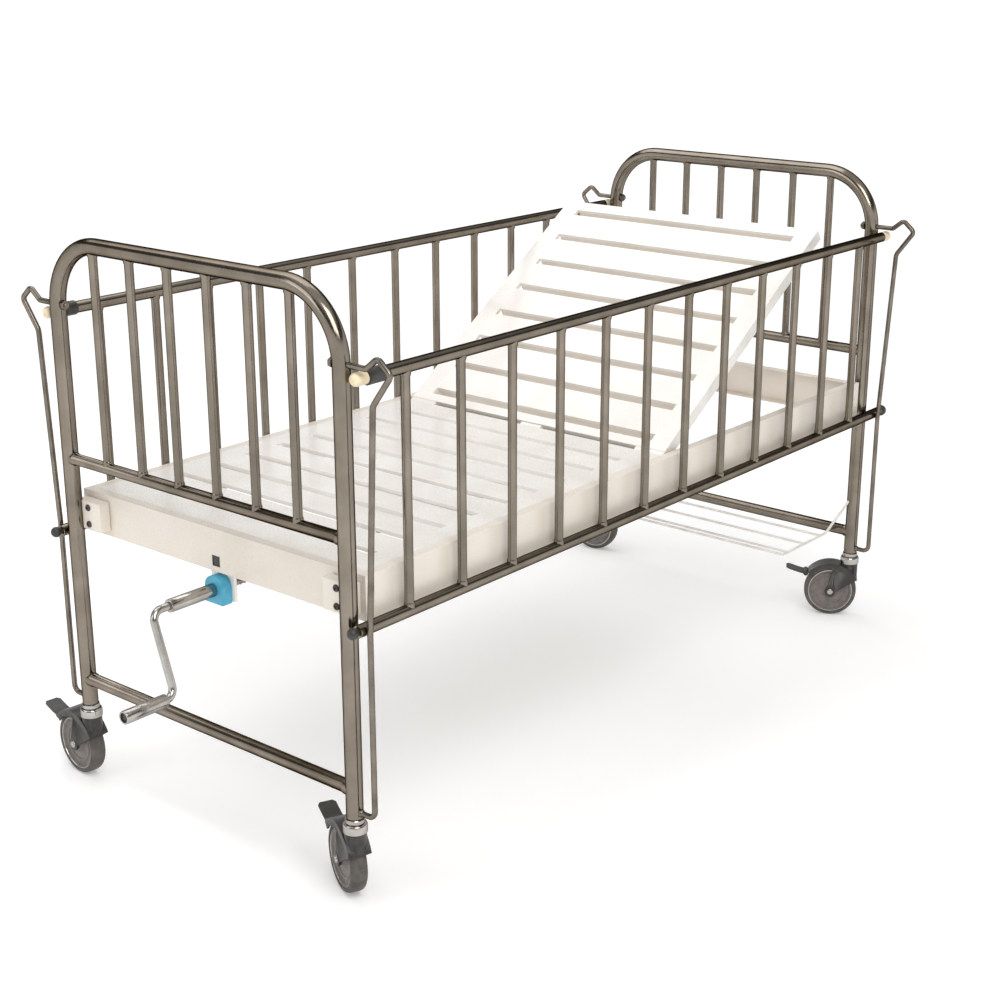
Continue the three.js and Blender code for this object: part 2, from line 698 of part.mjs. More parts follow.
const crank = new THREE.Group();
crank.position.z = screwZ;
crank.rotation.x = THREE.MathUtils.degToRad(CRANK_TURN);
cot.add(crank);
place(crank, "lead_screw", leadScrew(), screwSteel);
place(crank, "crank_handle", crankHandle(), chrome);
place(crank, "crank_grip", crankGrip(), chrome).position.set(gripBackX - GRIP_LENGTH, 0, -CRANK_ARM);

// Nut on the screw, and the push tube whose cross pin works in the lever's fork
function screwNut() {
  const half = NUT_SIZE / 2;
  const body = block(at(NUT_REST, -half, -half), at(NUT_REST + NUT_LENGTH, half, half));
  const bore = bar(at(NUT_REST - 1, 0, 0), at(NUT_REST + NUT_LENGTH + 1, 0, 0), screwBore, TUBE_SIDES);
  return shaped([body], [bore]);
}

function pushTube() {
  const start = NUT_REST + NUT_LENGTH + FIT;
  const pinReach = plateFace + LEVER_PLATE + LEVER_GAP;
  const tube = bar(at(start, 0, 0), at(pinX + PUSH_END, 0, 0), PUSH_TUBE / 2, TUBE_SIDES);
  const bore = bar(at(start - 1, 0, 0), at(pinX + PUSH_END + 1, 0, 0), PUSH_BORE / 2, TUBE_SIDES);
  const pin = bar(at(pinX, -pinReach, 0), at(pinX, pinReach, 0), CROSS_PIN / 2, TUBE_SIDES);
  return geometryOf(join([tube]).subtract(join([bore])).add(solid(pin)));
}

place(cot, "screw_nut", screwNut(), bluePlastic).position.z = screwZ;
place(cot, "push_tube", pushTube(), steel).position.z = screwZ;

// Wire rack: a shelf beside the head crossbar, hung from the legs by two stays
function wireRack() {
  const radius = WIRE / 2;
  const backX = endX - archRadius - FIT - radius;
  const frontX = backX - RACK_DEPTH;
  const side = RACK_WIDTH / 2;
  const shelfZ = CROSSBAR_HEIGHT - RACK_BELOW_BAR;
  const wires = [];
  for (const x of [frontX, frontX + RACK_SECOND_WIRE, frontX + RACK_THIRD_WIRE, backX - RACK_LAST_WIRE]) {
    wires.push(bar(at(x, -side, shelfZ), at(x, side, shelfZ), radius, WIRE_SIDES));
  }
  for (const sign of [-1, 1]) {
    const stay = bent([
      at(frontX - radius, sign * side, shelfZ),
      at(backX, sign * side, shelfZ),
      at(backX, sign * (legY - radius), shelfZ + RACK_STAY_RISE),
    ], [2 * WIRE], ROD_BEND_STEPS);
    wires.push(swept(stay, radius, WIRE_SIDES));
  }
  return shaped(wires, []);
}

place(cot, "wire_rack", wireRack(), whiteWire);

// Casters: drawn with the trail along +X, and the wheel's centre TRAIL ahead of the swivel axis
const cheekInner = WHEEL_WIDTH / 2 + CHEEK_GAP;
const cheekOuter = cheekInner + HOOD_WALL;
const hoodRadius = WHEEL_RADIUS + HOOD_GAP + HOOD_WALL;
const stemRadius = (archRadius - ARCH_WALL) * Math.cos(Math.PI / BORE_SIDES) - FIT;
const pedalRadius = WHEEL_RADIUS + HOOD_GAP + PEDAL_BOSS / 2;
const hoodFront = THREE.MathUtils.degToRad(HOOD_FRONT);
const hoodRear = THREE.MathUtils.degToRad(HOOD_REAR);
const pedalAngle = hoodRear - Math.asin((PEDAL_BOSS / 2 + FIT) / (pedalRadius - PEDAL_BOSS / 4));
const pedalPivot = new THREE.Vector2(Math.cos(pedalAngle), Math.sin(pedalAngle)).multiplyScalar(pedalRadius);

function standing(shape, low, high) {
  return plate(shape, high - low, HOOD_STEPS).rotateX(Math.PI / 2).translate(0, high, 0);
}

function casterFork() {
  const cheek = new THREE.Shape();
  cheek.absarc(0, 0, AXLE_BOSS, Math.PI, 2 * Math.PI, false);
  cheek.absarc(0, 0, hoodRadius, hoodRear, hoodFront, false);
  const ear = new THREE.Shape(polygon(PEDAL_BOSS / 2 + HOOD_WALL / 2, BAR_SIDES)
    .map((point) => point.add(pedalPivot)));
  const pieces = [standing(cheek, -cheekOuter, cheekOuter)];
  for (const [low, high] of [[-cheekOuter, -cheekInner], [cheekInner, cheekOuter]]) {
    pieces.push(standing(ear, low, high));
  }
  const ringTop = LEG_FOOT - FIT - wheelCentreZ;
  const ringFoot = ringTop - SWIVEL_RING_HEIGHT;
  const column = [
    [SWIVEL_RADIUS, hoodRadius * Math.sin(hoodFront), ringFoot],
    [SWIVEL_RING, ringFoot - 1, ringTop],
    [stemRadius, ringTop - 1, ringTop + STEM_DEPTH],
  ];
  for (const [radius, low, high] of column) {
    pieces.push(bar(at(-TRAIL, 0, low), at(-TRAIL, 0, high), radius, TUBE_SIDES));
  }
  const wheelRoom = new THREE.Shape(polygon(WHEEL_RADIUS + HOOD_GAP, WHEEL_FACETS));
  const axleReach = cheekOuter + HOOD_WALL;
  const axle = bar(at(0, -axleReach, 0), at(0, axleReach, 0), AXLE / 2, BAR_SIDES);
  const hollow = solid(standing(wheelRoom, -cheekInner, cheekInner));
  return geometryOf(join(pieces).subtract(hollow).add(solid(axle)));
}

function wheelTurn(profile) {
  const points = profile.map(([radius, width]) => new THREE.Vector2(radius, width));
  return new THREE.LatheGeometry(points, WHEEL_FACETS).rotateY(Math.PI / WHEEL_FACETS);
}

function casterWheel() {
  const rim = WHEEL_RADIUS - TYRE_THICKNESS;
  const half = WHEEL_WIDTH / 2;
  const bore = AXLE / 2 + FIT;
  const dish = half - WHEEL_DISH;
  return wheelTurn([
    [bore, -half],
    [HUB_RADIUS, -half],
    [HUB_RADIUS + WHEEL_DISH, -dish],
    [rim, -dish],
    [rim, dish],
    [HUB_RADIUS + WHEEL_DISH, dish],
    [HUB_RADIUS, half],
    [bore, half],
    [bore, -half],
  ]);
}

function casterTyre() {
  const seat = WHEEL_RADIUS - TYRE_THICKNESS + FIT;
  const half = WHEEL_WIDTH / 2;
  const shoulder = WHEEL_RADIUS - TYRE_THICKNESS / 3;
  return wheelTurn([
    [seat, -half],
    [shoulder, -half],
    [WHEEL_RADIUS, -half / 2],
    [WHEEL_RADIUS, half / 2],
    [shoulder, half],
    [seat, half],
    [seat, -half],
  ]);
}

function brakePedal() {
  const half = PEDAL_WIDTH / 2;
  const reach = cheekInner - FIT;
  const boss = bar(at(0, -reach, 0), at(0, reach, 0), PEDAL_BOSS / 2, TUBE_SIDES);
  const paddle = block(at(0, -half, -PEDAL_THICKNESS / 2), at(PEDAL_LENGTH, half, PEDAL_THICKNESS / 2))
    .rotateY(-THREE.MathUtils.degToRad(PEDAL_LIFT));
  return shaped([boss, paddle], []);
}

for (const [corner, end, side, trail] of corners) {
  const caster = new THREE.Group();
  caster.position.set(end * endX, side * legY, wheelCentreZ);
  caster.rotation.z = THREE.MathUtils.degToRad(trail);
  const wheel = new THREE.Group();
  wheel.position.x = TRAIL;
  cot.add(caster.add(wheel));
  place(wheel, `caster_fork_${corner}`, casterFork(), darkPlastic);
  place(wheel, `caster_wheel_${corner}`, casterWheel(), greyPlastic);
  place(wheel, `caster_tyre_${corner}`, casterTyre(), tyreRubber);
  place(wheel, `brake_pedal_${corner}`, brakePedal(), darkPlastic)
    .position.set(pedalPivot.x, 0, pedalPivot.y);
}

// The origin is on the floor under the middle of the whole cot
const wholeBox = new THREE.Box3().setFromObject(cot, true);
const middle = wholeBox.getCenter(new THREE.Vector3());
cot.position.set(-middle.x, -middle.y, -wholeBox.min.z);
cot.updateMatrixWorld(true);

export default cot;
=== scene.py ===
"""Looks of a pediatric hospital cot with drop sides, a cranked backrest and braked casters."""

import logging
import math
from collections.abc import Sequence
from dataclasses import dataclass
from enum import Enum

import bpy
from mathutils import Matrix, Vector

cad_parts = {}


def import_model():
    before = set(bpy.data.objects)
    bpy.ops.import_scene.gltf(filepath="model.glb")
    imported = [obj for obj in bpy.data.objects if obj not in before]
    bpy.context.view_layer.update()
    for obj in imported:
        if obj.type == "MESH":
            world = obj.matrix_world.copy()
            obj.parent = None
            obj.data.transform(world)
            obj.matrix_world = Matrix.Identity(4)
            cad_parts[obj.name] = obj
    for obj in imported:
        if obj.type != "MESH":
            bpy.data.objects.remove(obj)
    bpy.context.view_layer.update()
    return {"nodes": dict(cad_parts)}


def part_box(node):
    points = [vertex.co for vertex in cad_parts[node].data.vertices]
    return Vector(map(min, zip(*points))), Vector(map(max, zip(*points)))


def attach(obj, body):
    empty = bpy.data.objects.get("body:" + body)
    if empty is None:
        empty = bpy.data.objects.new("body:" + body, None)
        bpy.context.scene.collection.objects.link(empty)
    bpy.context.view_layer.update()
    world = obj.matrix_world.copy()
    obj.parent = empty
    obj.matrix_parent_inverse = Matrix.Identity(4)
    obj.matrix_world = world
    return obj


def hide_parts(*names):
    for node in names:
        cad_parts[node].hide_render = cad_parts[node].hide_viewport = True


LOG = logging.getLogger("cot")
MM = 0.001
X_AXIS = Vector((1.0, 0.0, 0.0))
Y_AXIS = Vector((0.0, 1.0, 0.0))
Z_AXIS = Vector((0.0, 0.0, 1.0))

# Sides of round sections
NUT_SIDES = 6
WIRE_SIDES = 14
ROD_SIDES = 16
PIN_SIDES = 20
BAR_SIDES = 24
RAIL_SIDES = 32
TUBE_SIDES = 40
WHEEL_SIDES = 56
TYRE_SIDES = 64
DRUM_SIDES = 72

# Angles in degrees past which an edge stays sharp
NUT_CREASE = 20.0
THREAD_CREASE = 30.0
TURNED_CREASE = 38.0
CREASE = 40.0
BLOCK_CREASE = 50.0

# Merging of a copied node's triangles, in millimetres and degrees
MERGE_GAP = 0.01
FLAT_ANGLE = 2.0
QUAD_ANGLE = 120.0

# Patterns of the finishes
COAT_ROUGHNESS = 0.12
PATCH_DETAIL = 4.0
SPECK_DETAIL = 6.0
TINT_START = 0.36
TINT_SPAN = 0.4
GLOSS_START = 0.3
GLOSS_END = 0.72

Piece = bpy.types.Object
Colour = tuple[float, float, float]
Point = tuple[float, float, float]
Section = tuple[float, float]
Profile = Sequence[Section]


class Place(Enum):
    """A named place on the cot."""

    @property
    def label(self) -> str:
        """The place's name as the nodes and bodies spell it."""
        return self.name.lower()


class End(Place):
    """The two ends of the cot, by the sign of their place along X."""

    FOOT = -1
    HEAD = 1


class Side(Place):
    """The two long sides of the cot, by the sign of their place along Y."""

    NEAR = -1
    FAR = 1


class Corner(Place):
    """The four legs, each with its end, its side and the turn of its caster in degrees."""

    FOOT_NEAR = (End.FOOT, Side.NEAR, 65.0)
    FOOT_FAR = (End.FOOT, Side.FAR, 85.0)
    HEAD_NEAR = (End.HEAD, Side.NEAR, 120.0)
    HEAD_FAR = (End.HEAD, Side.FAR, 100.0)


class Grain(Enum):
    """How a finish's fine pattern is stretched, as scales along X, Y and Z."""

    EVEN = (1.0, 1.0, 1.0)
    BRUSHED = (1.0, 1.0, 0.12)


class Start(Enum):
    """What a turned piece starts from: a filled disc or an open hoop."""

    DISC = "NGON"
    HOOP = "NOTHING"


class Change(Enum):
    """What a tool shape does to a piece."""

    ADD = "UNION"
    TAKE = "DIFFERENCE"


@dataclass(frozen=True)
class Finish:
    """One surface finish, made of noise patterns in the piece's own space.

    Attributes:
        slot: The record's material slot that this finish stands for.
        light: The finish's colour where it is clean.
        dark: The finish's colour where it is handled, dusty or worn.
        metallic: How metallic the surface is, from 0 to 1.
        rough: The lowest and highest roughness.
        patch: Size of the colour's patches, in millimetres.
        speck: Size of the fine pattern, in millimetres.
        bump: Height of the fine pattern, in millimetres.
        grain: How the fine pattern is stretched.
        coat: Weight of a clear coat.
        wear: The highest share of the worn colour.
        rim: Brightness of the surface's reflections where it turns away; below 1 it paints
        dark edges, a painted reflection of a dark surround.
    """

    slot: str
    light: Colour
    dark: Colour
    metallic: float
    rough: tuple[float, float]
    patch: float
    speck: float
    bump: float
    grain: Grain = Grain.EVEN
    coat: float = 0.0
    wear: float = 1.0
    rim: float = 1.0

    def material(self) -> bpy.types.Material:
        """Gives the material of this finish, made once.

        Returns:
            The material with its nodes.
        """
        name = f"{self.slot}_finish"
        known = bpy.data.materials.get(name)
        if known:
            return known
        made = bpy.data.materials.new(name)
        made.use_nodes = True
        made.diffuse_color = (*self.light, 1.0)
        tree = made.node_tree
        shader = tree.nodes["Principled BSDF"]
        shader.inputs["Metallic"].default_value = self.metallic
        # Specular tint below 1 darkens the grazing reflections: painted dark edges standing in for
        # a dark surround's reflection.
        shader.inputs["Specular Tint"].default_value = (self.rim, self.rim, self.rim, 1.0)
        shader.inputs["Coat Weight"].default_value = self.coat
        shader.inputs["Coat Roughness"].default_value = COAT_ROUGHNESS
        place = tree.nodes.new("ShaderNodeTexCoord")
        patches = self._noise(tree, place.outputs["Object"], self.patch, PATCH_DETAIL)
        worn = TINT_START + TINT_SPAN / self.wear
        tint = self._ramp(tree, patches, (TINT_START, self.light), (worn, self.dark))
        tree.links.new(tint, shader.inputs["Base Color"])
        stretch = tree.nodes.new("ShaderNodeMapping")
        stretch.inputs["Scale"].default_value = self.grain.value
        tree.links.new(place.outputs["Object"], stretch.inputs["Vector"])
        specks = self._noise(tree, stretch.outputs["Vector"], self.speck, SPECK_DETAIL)
        low, high = self.rough
        gloss = self._ramp(tree, specks, (GLOSS_START, (low,) * 3), (GLOSS_END, (high,) * 3))
        tree.links.new(gloss, shader.inputs["Roughness"])
        relief = tree.nodes.new("ShaderNodeBump")
        relief.inputs["Strength"].default_value = 1.0
        relief.inputs["Distance"].default_value = self.bump * MM
        tree.links.new(specks, relief.inputs["Height"])
        tree.links.new(relief.outputs["Normal"], shader.inputs["Normal"])
        return made

    @staticmethod
    def _noise(
        tree: bpy.types.NodeTree, vector: bpy.types.NodeSocket, size: float, detail: float
    ) -> bpy.types.NodeSocket:
        """Adds a noise pattern.

        Args:
            tree: The material's nodes.
            vector: The place that the pattern is read at.
            size: Size of the pattern's spots, in millimetres.
            detail: Octaves of the pattern.

        Returns:
            The pattern's value.
        """
        noise = tree.nodes.new("ShaderNodeTexNoise")
        noise.inputs["Scale"].default_value = 1.0 / (size * MM)
        noise.inputs["Detail"].default_value = detail
        tree.links.new(vector, noise.inputs["Vector"])
        return noise.outputs["Fac"]

    @staticmethod
    def _ramp(
        tree: bpy.types.NodeTree,
        value: bpy.types.NodeSocket,
        low: tuple[float, Colour],
        high: tuple[float, Colour],
    ) -> bpy.types.NodeSocket:
        """Turns a pattern into a colour between two colours.

        Args:
            tree: The material's nodes.
            value: The pattern's value.
            low: The value at which the first colour ends, and that colour.
            high: The value at which the second colour starts, and that colour.

        Returns:
            The colour.
        """
        ramp = tree.nodes.new("ShaderNodeValToRGB")
        for stop, (where, colour) in zip(ramp.color_ramp.elements, (low, high)):
            stop.position = min(where, 1.0)
            stop.color = (*colour, 1.0)
        tree.links.new(value, ramp.inputs["Fac"])
        return ramp.outputs["Color"]


# The steel tube's colours are darker than bare polished steel: painted shade standing in for the
# reflection of a dark studio surround.
STEEL_TUBE = Finish(
    "steel_tube",
    light=(0.27, 0.235, 0.192),
    dark=(0.19, 0.163, 0.132),
    metallic=1.0,
    rough=(0.12, 0.24),
    patch=60.0,
    speck=2.2,
    bump=0.012,
    grain=Grain.BRUSHED,
    # low rim: painted dark edges (painted reflection)
    rim=0.08,
)
ROD_STEEL = Finish(
    "rod_steel",
    light=(0.24, 0.21, 0.175),
    dark=(0.13, 0.112, 0.092),
    metallic=1.0,
    rough=(0.2, 0.36),
    patch=40.0,
    speck=2.0,
    bump=0.012,
    # low rim: painted dark edges (painted reflection)
    rim=0.2,
)
CHROME = Finish(
    "chrome",
    light=(0.5, 0.48, 0.45),
    dark=(0.36, 0.34, 0.31),
    metallic=1.0,
    rough=(0.1, 0.24),
    patch=25.0,
    speck=1.6,
    bump=0.006,
    # low rim: painted dark edges (painted reflection)
    rim=0.3,
)
SCREW_STEEL = Finish(
    "screw_steel",
    light=(0.3, 0.28, 0.25),
    dark=(0.12, 0.105, 0.09),
    metallic=1.0,
    rough=(0.25, 0.45),
    patch=14.0,
    speck=1.2,
    bump=0.02,
)
WHITE_ENAMEL = Finish(
    "white_enamel",
    light=(0.87, 0.84, 0.8),
    dark=(0.74, 0.7, 0.64),
    metallic=0.0,
    rough=(0.22, 0.36),
    patch=90.0,
    speck=2.4,
    bump=0.02,
    coat=0.25,
    wear=0.7,
)
BEIGE_ENAMEL = Finish(
    "beige_enamel",
    light=(0.79, 0.725, 0.645),
    dark=(0.69, 0.62, 0.535),
    metallic=0.0,
    rough=(0.24, 0.38),
    patch=110.0,
    speck=2.4,
    bump=0.02,
    coat=0.25,
    wear=0.7,
)
CREAM_PLASTIC = Finish(
    "cream_plastic",
    light=(0.86, 0.74, 0.52),
    dark=(0.72, 0.58, 0.38),
    metallic=0.0,
    rough=(0.3, 0.45),
    patch=12.0,
    speck=0.8,
    bump=0.02,
)
BLUE_PLASTIC = Finish(
    "blue_plastic",
    light=(0.08, 0.42, 0.6),
    dark=(0.05, 0.3, 0.46),
    metallic=0.0,
    rough=(0.28, 0.42),
    patch=18.0,
    speck=0.9,
    bump=0.02,
)
DARK_PLASTIC = Finish(
    "dark_plastic",
    light=(0.022, 0.02, 0.018),
    dark=(0.05, 0.045, 0.04),
    metallic=0.0,
    rough=(0.3, 0.5),
    patch=16.0,
    speck=0.8,
    bump=0.03,
)
GREY_PLASTIC = Finish(
    "grey_plastic",
    light=(0.19, 0.165, 0.15),
    dark=(0.12, 0.105, 0.095),
    metallic=0.0,
    rough=(0.35, 0.5),
    patch=14.0,
    speck=0.9,
    bump=0.03,
)
TYRE = Finish(
    "tyre",
    light=(0.06, 0.053, 0.047),
    dark=(0.12, 0.108, 0.096),
    metallic=0.0,
    rough=(0.55, 0.8),
    patch=18.0,
    speck=0.7,
    bump=0.05,
)
WHITE_WIRE = Finish(
    "white_wire",
    light=(0.85, 0.83, 0.79),
    dark=(0.7, 0.66, 0.6),
    metallic=0.0,
    rough=(0.28, 0.42),
    patch=30.0,
    speck=1.0,
    bump=0.02,
)


def shifted(steps: Profile, along: float, radius: float) -> list[Section]:
    """Sets a profile's steps out from a place along its axis and a radius.

    Args:
        steps: Step along the axis and change of radius for each section.
        along: Where the steps along the axis start.
        radius: The radius that the changes are added to.

    Returns:
        Distance along the axis and radius of each section.
    """
    return [(along + step, radius + change) for step, change in steps]


def chamfered(start: float, end: float, radius: float, chamfer: float) -> list[Section]:
    """Gives the profile of a round bar with chamfered ends.

    Args:
        start: Where the bar starts along its axis.
        end: Where it ends.
        radius: Its radius.
        chamfer: Width of its chamfers.

    Returns:
        Distance along the axis and radius of each section.
    """
    return [
        (start, radius - chamfer),
        (start + chamfer, radius),
        (end - chamfer, radius),
        (end, radius - chamfer),
    ]


def doubled(half: Profile, span: float = 0.0) -> list[Section]:
    """Adds a profile's mirror image, for a piece whose two ends are alike.

    Args:
        half: The profile of the first end.
        span: Where the start of the axis lies in the mirror image.

    Returns:
        The profile of both ends.
    """
    return [*half, *((span - along, radius) for along, radius in reversed(half))]


class Bench:
    """Modelling steps that all sub-assemblies share, in millimetres from the cot's middle."""

    def __init__(self, nodes: dict[str, Piece]) -> None:
        """Finds the cot's middle from its two end arches.

        Args:
            nodes: The frame's nodes by name.
        """
        foot_low, foot_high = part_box("foot_arch")
        head_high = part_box("head_arch")[1]
        self.nodes = nodes
        self.middle = Vector(
            ((foot_low[0] + head_high[0]) / 2, (foot_low[1] + foot_high[1]) / 2, 0.0)
        )

    def at(self, x: float, y: float, z: float) -> Vector:
        """Gives a place in metres from one in millimetres."""
        return self.middle + MM * Vector((x, y, z))

    @staticmethod
    def clear() -> None:
        """Deselects everything in object mode."""
        if bpy.context.mode != "OBJECT":
            bpy.ops.object.mode_set(mode="OBJECT")
        bpy.ops.object.select_all(action="DESELECT")

    def pick(self, *pieces: Piece) -> None:
        """Selects pieces, the first one active.

        Args:
            pieces: The pieces.
        """
        self.clear()
        for piece in pieces:
            piece.select_set(True)
        bpy.context.view_layer.objects.active = pieces[0]

    @staticmethod
    def edit_all() -> None:
        """Opens the active piece for editing, with all of it selected."""
        bpy.ops.object.mode_set(mode="EDIT")
        bpy.ops.mesh.select_all(action="SELECT")

    def opened(self, name: str) -> Piece:
        """Names a new primitive, puts its place in its mesh and opens it for editing.

        Args:
            name: The piece's name.

        Returns:
            The piece, in edit mode with all selected.
        """
        piece = bpy.context.active_object
        piece.name = piece.data.name = name
        bpy.ops.object.transform_apply(location=True, rotation=True, scale=True)
        self.edit_all()
        return piece

    def closed(self, piece: Piece, angle: float) -> Piece:
        """Turns the faces outwards, leaves edit mode and shades the piece.

        Args:
            piece: The piece in edit mode.
            angle: Edges sharper than this many degrees stay sharp.

        Returns:
            The piece.
        """
        bpy.ops.mesh.select_all(action="SELECT")
        bpy.ops.mesh.normals_make_consistent(inside=False)
        bpy.ops.object.mode_set(mode="OBJECT")
        self.pick(piece)
        bpy.ops.object.shade_smooth_by_angle(angle=math.radians(angle))
        return piece

    @staticmethod
    def extrude(move: Vector) -> None:
        """Extrudes what is selected by a move in metres."""
        bpy.ops.mesh.extrude_region_move(TRANSFORM_OT_translate={"value": move})

    @staticmethod
    def trim(point: Vector, normal: Vector) -> None:
        """Cuts the piece in edit mode at a plane and closes it.

        Args:
            point: A point of the plane, in metres.
            normal: The direction in which the piece is cut away.
        """
        bpy.ops.mesh.select_all(action="SELECT")
        bpy.ops.mesh.bisect(
            plane_co=point, plane_no=normal, use_fill=True, clear_outer=True, clear_inner=False
        )

    @staticmethod
    def _resize(ratio: float, centre: Vector) -> None:
        """Scales what is selected about a centre."""
        bpy.ops.transform.resize(value=(ratio, ratio, ratio), center_override=centre)

    def _round(
        self, name: str, centre: Vector, axis: Vector, radius: float, sides: int, start: Start
    ) -> Piece:
        """Adds a disc or a hoop and opens it for editing.

        Args:
            name: The piece's name.
            centre: Its centre, in metres.
            axis: The direction that it faces.
            radius: Its radius.
            sides: Its number of sides.
            start: Whether it is filled.

        Returns:
            The piece, in edit mode with all selected.
        """
        self.clear()
        bpy.ops.mesh.primitive_circle_add(
            vertices=sides,
            radius=radius * MM,
            fill_type=start.value,
            location=centre,
            rotation=axis.to_track_quat("Z", "Y").to_euler(),
        )
        return self.opened(name)

    def _drawn(
        self, name: str, base: Vector, axis: Vector, profile: Profile, sides: int, start: Start
    ) -> Piece:
        """Draws a disc or a hoop out through the sections of a profile.

        Args:
            name: The piece's name.
            base: Where distances along the axis start, in metres.
            axis: The axis.
            profile: Distance along the axis and radius of each section.
            sides: Sides of the sections.
            start: What the piece starts from.

        Returns:
            The piece, in edit mode with its last section selected.
        """
        along, radius = profile[0]
        piece = self._round(name, base + axis * along * MM, axis, radius, sides, start)
        for onward, wider in profile[1:]:
            self.extrude(axis * (onward - along) * MM)
            self._resize(wider / radius, base + axis * onward * MM)
            along, radius = onward, wider
        return piece

    def rod(
        self,
        name: str,
        path: Sequence[Vector],
        radius: float,
        bends: Sequence[float],
        sides: int,
        steps: int = 8,
        tip: float = 0.8,
    ) -> Piece:
        """Bends a round bar or a tube along a path.

        Args:
            name: The piece's name.
            path: The path's corners, in metres.
            radius: The bar's radius.
            bends: The bend radius at each inner corner.
            sides: Sides of the bar's section.
            steps: Steps in each bend.
            tip: Width of the chamfer at both ends.

        Returns:
            The closed bar.
        """
        ahead = (path[1] - path[0]).normalized()
        piece = self._round(name, path[0], ahead, radius - tip, sides, Start.DISC)
        here = path[0] + ahead * tip * MM
        self.extrude(ahead * tip * MM)
        self._resize(radius / (radius - tip), here)
        for corner, after, bend in zip(path[1:-1], path[2:], bends):
            onward = (after - corner).normalized()
            angle = ahead.angle(onward)
            set_back = bend * MM * math.tan(angle / 2)
            start = corner - ahead * set_back
            self.extrude(start - here)
            axis = ahead.cross(onward).normalized()
            centre = start + axis.cross(ahead) * bend * MM
            bpy.ops.mesh.spin(steps=steps, angle=-angle, center=centre, axis=axis)
            here = corner + onward * set_back
            ahead = onward
        self.extrude(path[-1] - ahead * tip * MM - here)
        self.extrude(ahead * tip * MM)
        self._resize((radius - tip) / radius, path[-1])
        return self.closed(piece, CREASE)

    def turned(
        self,
        name: str,
        base: Vector,
        axis: Vector,
        profile: Profile,
        sides: int = RAIL_SIDES,
        angle: float = TURNED_CREASE,
    ) -> Piece:
        """Turns a solid of round sections.

        Args:
            name: The piece's name.
            base: Where distances along the axis start, in metres.
            axis: The axis.
            profile: Distance along the axis and radius of each section.
            sides: Sides of the sections.
            angle: Edges sharper than this many degrees stay sharp.

        Returns:
            The closed solid.
        """
        return self.closed(self._drawn(name, base, axis, profile, sides, Start.DISC), angle)

    def ring(self, name: str, base: Vector, axis: Vector, profile: Profile, sides: int) -> Piece:
        """Turns a ring from a section that closes on itself.

        Args:
            name: The piece's name.
            base: Where distances along the axis start, in metres.
            axis: The axis.
            profile: Distance along the axis and radius of each corner of the section.
            sides: Sides of the ring.

        Returns:
            The closed ring.
        """
        piece = self._drawn(name, base, axis, profile, sides, Start.HOOP)
        bpy.ops.mesh.select_all(action="DESELECT")
        bpy.ops.mesh.select_non_manifold()
        bpy.ops.mesh.bridge_edge_loops()
        return self.closed(piece, TURNED_CREASE)

    def block(self, name: str, low: Vector, high: Vector, edge: float) -> Piece:
        """Adds a block with rounded edges.

        Args:
            name: The piece's name.
            low: Its lowest corner, in metres.
            high: Its highest corner, in metres.
            edge: Radius of its edges.

        Returns:
            The block.
        """
        self.clear()
        bpy.ops.mesh.primitive_cube_add(size=1.0, location=(low + high) / 2, scale=high - low)
        piece = self.opened(name)
        bpy.ops.mesh.bevel(offset=edge * MM, segments=3, affect="EDGES")
        return self.closed(piece, BLOCK_CREASE)

    def softened(
        self, node: str, edge: float, body: str, finish: Finish, segments: int = 2
    ) -> None:
        """Copies a CAD node's form, rounds its sharp edges and settles it in the node's place.

        Args:
            node: The node's name.
            edge: Radius of the edges.
            body: The body that the piece rides on.
            finish: Its finish.
            segments: Segments of each edge.
        """
        source = self.nodes[node]
        piece = bpy.data.objects.new(f"{node}_form", source.data.copy())
        piece.data.transform(source.matrix_world)
        piece.data.materials.clear()
        bpy.context.scene.collection.objects.link(piece)
        self.pick(piece)
        bpy.ops.mesh.customdata_custom_splitnormals_clear()
        self.edit_all()
        bpy.ops.mesh.remove_doubles(threshold=MERGE_GAP * MM)
        bpy.ops.mesh.tris_convert_to_quads(
            face_threshold=math.radians(FLAT_ANGLE), shape_threshold=math.radians(QUAD_ANGLE)
        )
        bpy.ops.object.mode_set(mode="OBJECT")
        self.rounded(piece, edge, segments)
        self.settle(piece, body, finish, node)

    def rounded(self, piece: Piece, edge: float, segments: int) -> None:
        """Rounds a piece's sharp edges with a bevel, and keeps its flat faces flat.

        Args:
            piece: The piece.
            edge: Radius of the edges.
            segments: Segments of each edge.
        """
        self.pick(piece)
        bevel = piece.modifiers.new("edges", "BEVEL")
        bevel.width = edge * MM
        bevel.segments = segments
        bevel.limit_method = "ANGLE"
        bevel.angle_limit = math.radians(CREASE)
        bevel.use_clamp_overlap = True
        bpy.ops.object.modifier_apply(modifier=bevel.name)
        bpy.ops.object.shade_smooth_by_angle(angle=math.radians(CREASE))
        flat = piece.modifiers.new("flat", "WEIGHTED_NORMAL")
        flat.keep_sharp = True
        bpy.ops.object.modifier_apply(modifier=flat.name)

    def cut(self, piece: Piece, tool: Piece, change: Change) -> None:
        """Joins a piece with a tool shape, or cuts it, and takes the tool away.

        Args:
            piece: The piece.
            tool: The tool shape.
            change: What the tool does.
        """
        self.pick(piece)
        step = piece.modifiers.new("cut", "BOOLEAN")
        step.operation = change.value
        step.object = tool
        step.solver = "EXACT"
        bpy.ops.object.modifier_apply(modifier=step.name)
        bpy.data.objects.remove(tool)

    def joined(self, name: str, pieces: Sequence[Piece]) -> Piece:
        """Makes several pieces one.

        Args:
            name: The new piece's name.
            pieces: The pieces to join.

        Returns:
            The one piece.
        """
        self.pick(*pieces)
        bpy.ops.object.join()
        pieces[0].name = pieces[0].data.name = name
        return pieces[0]

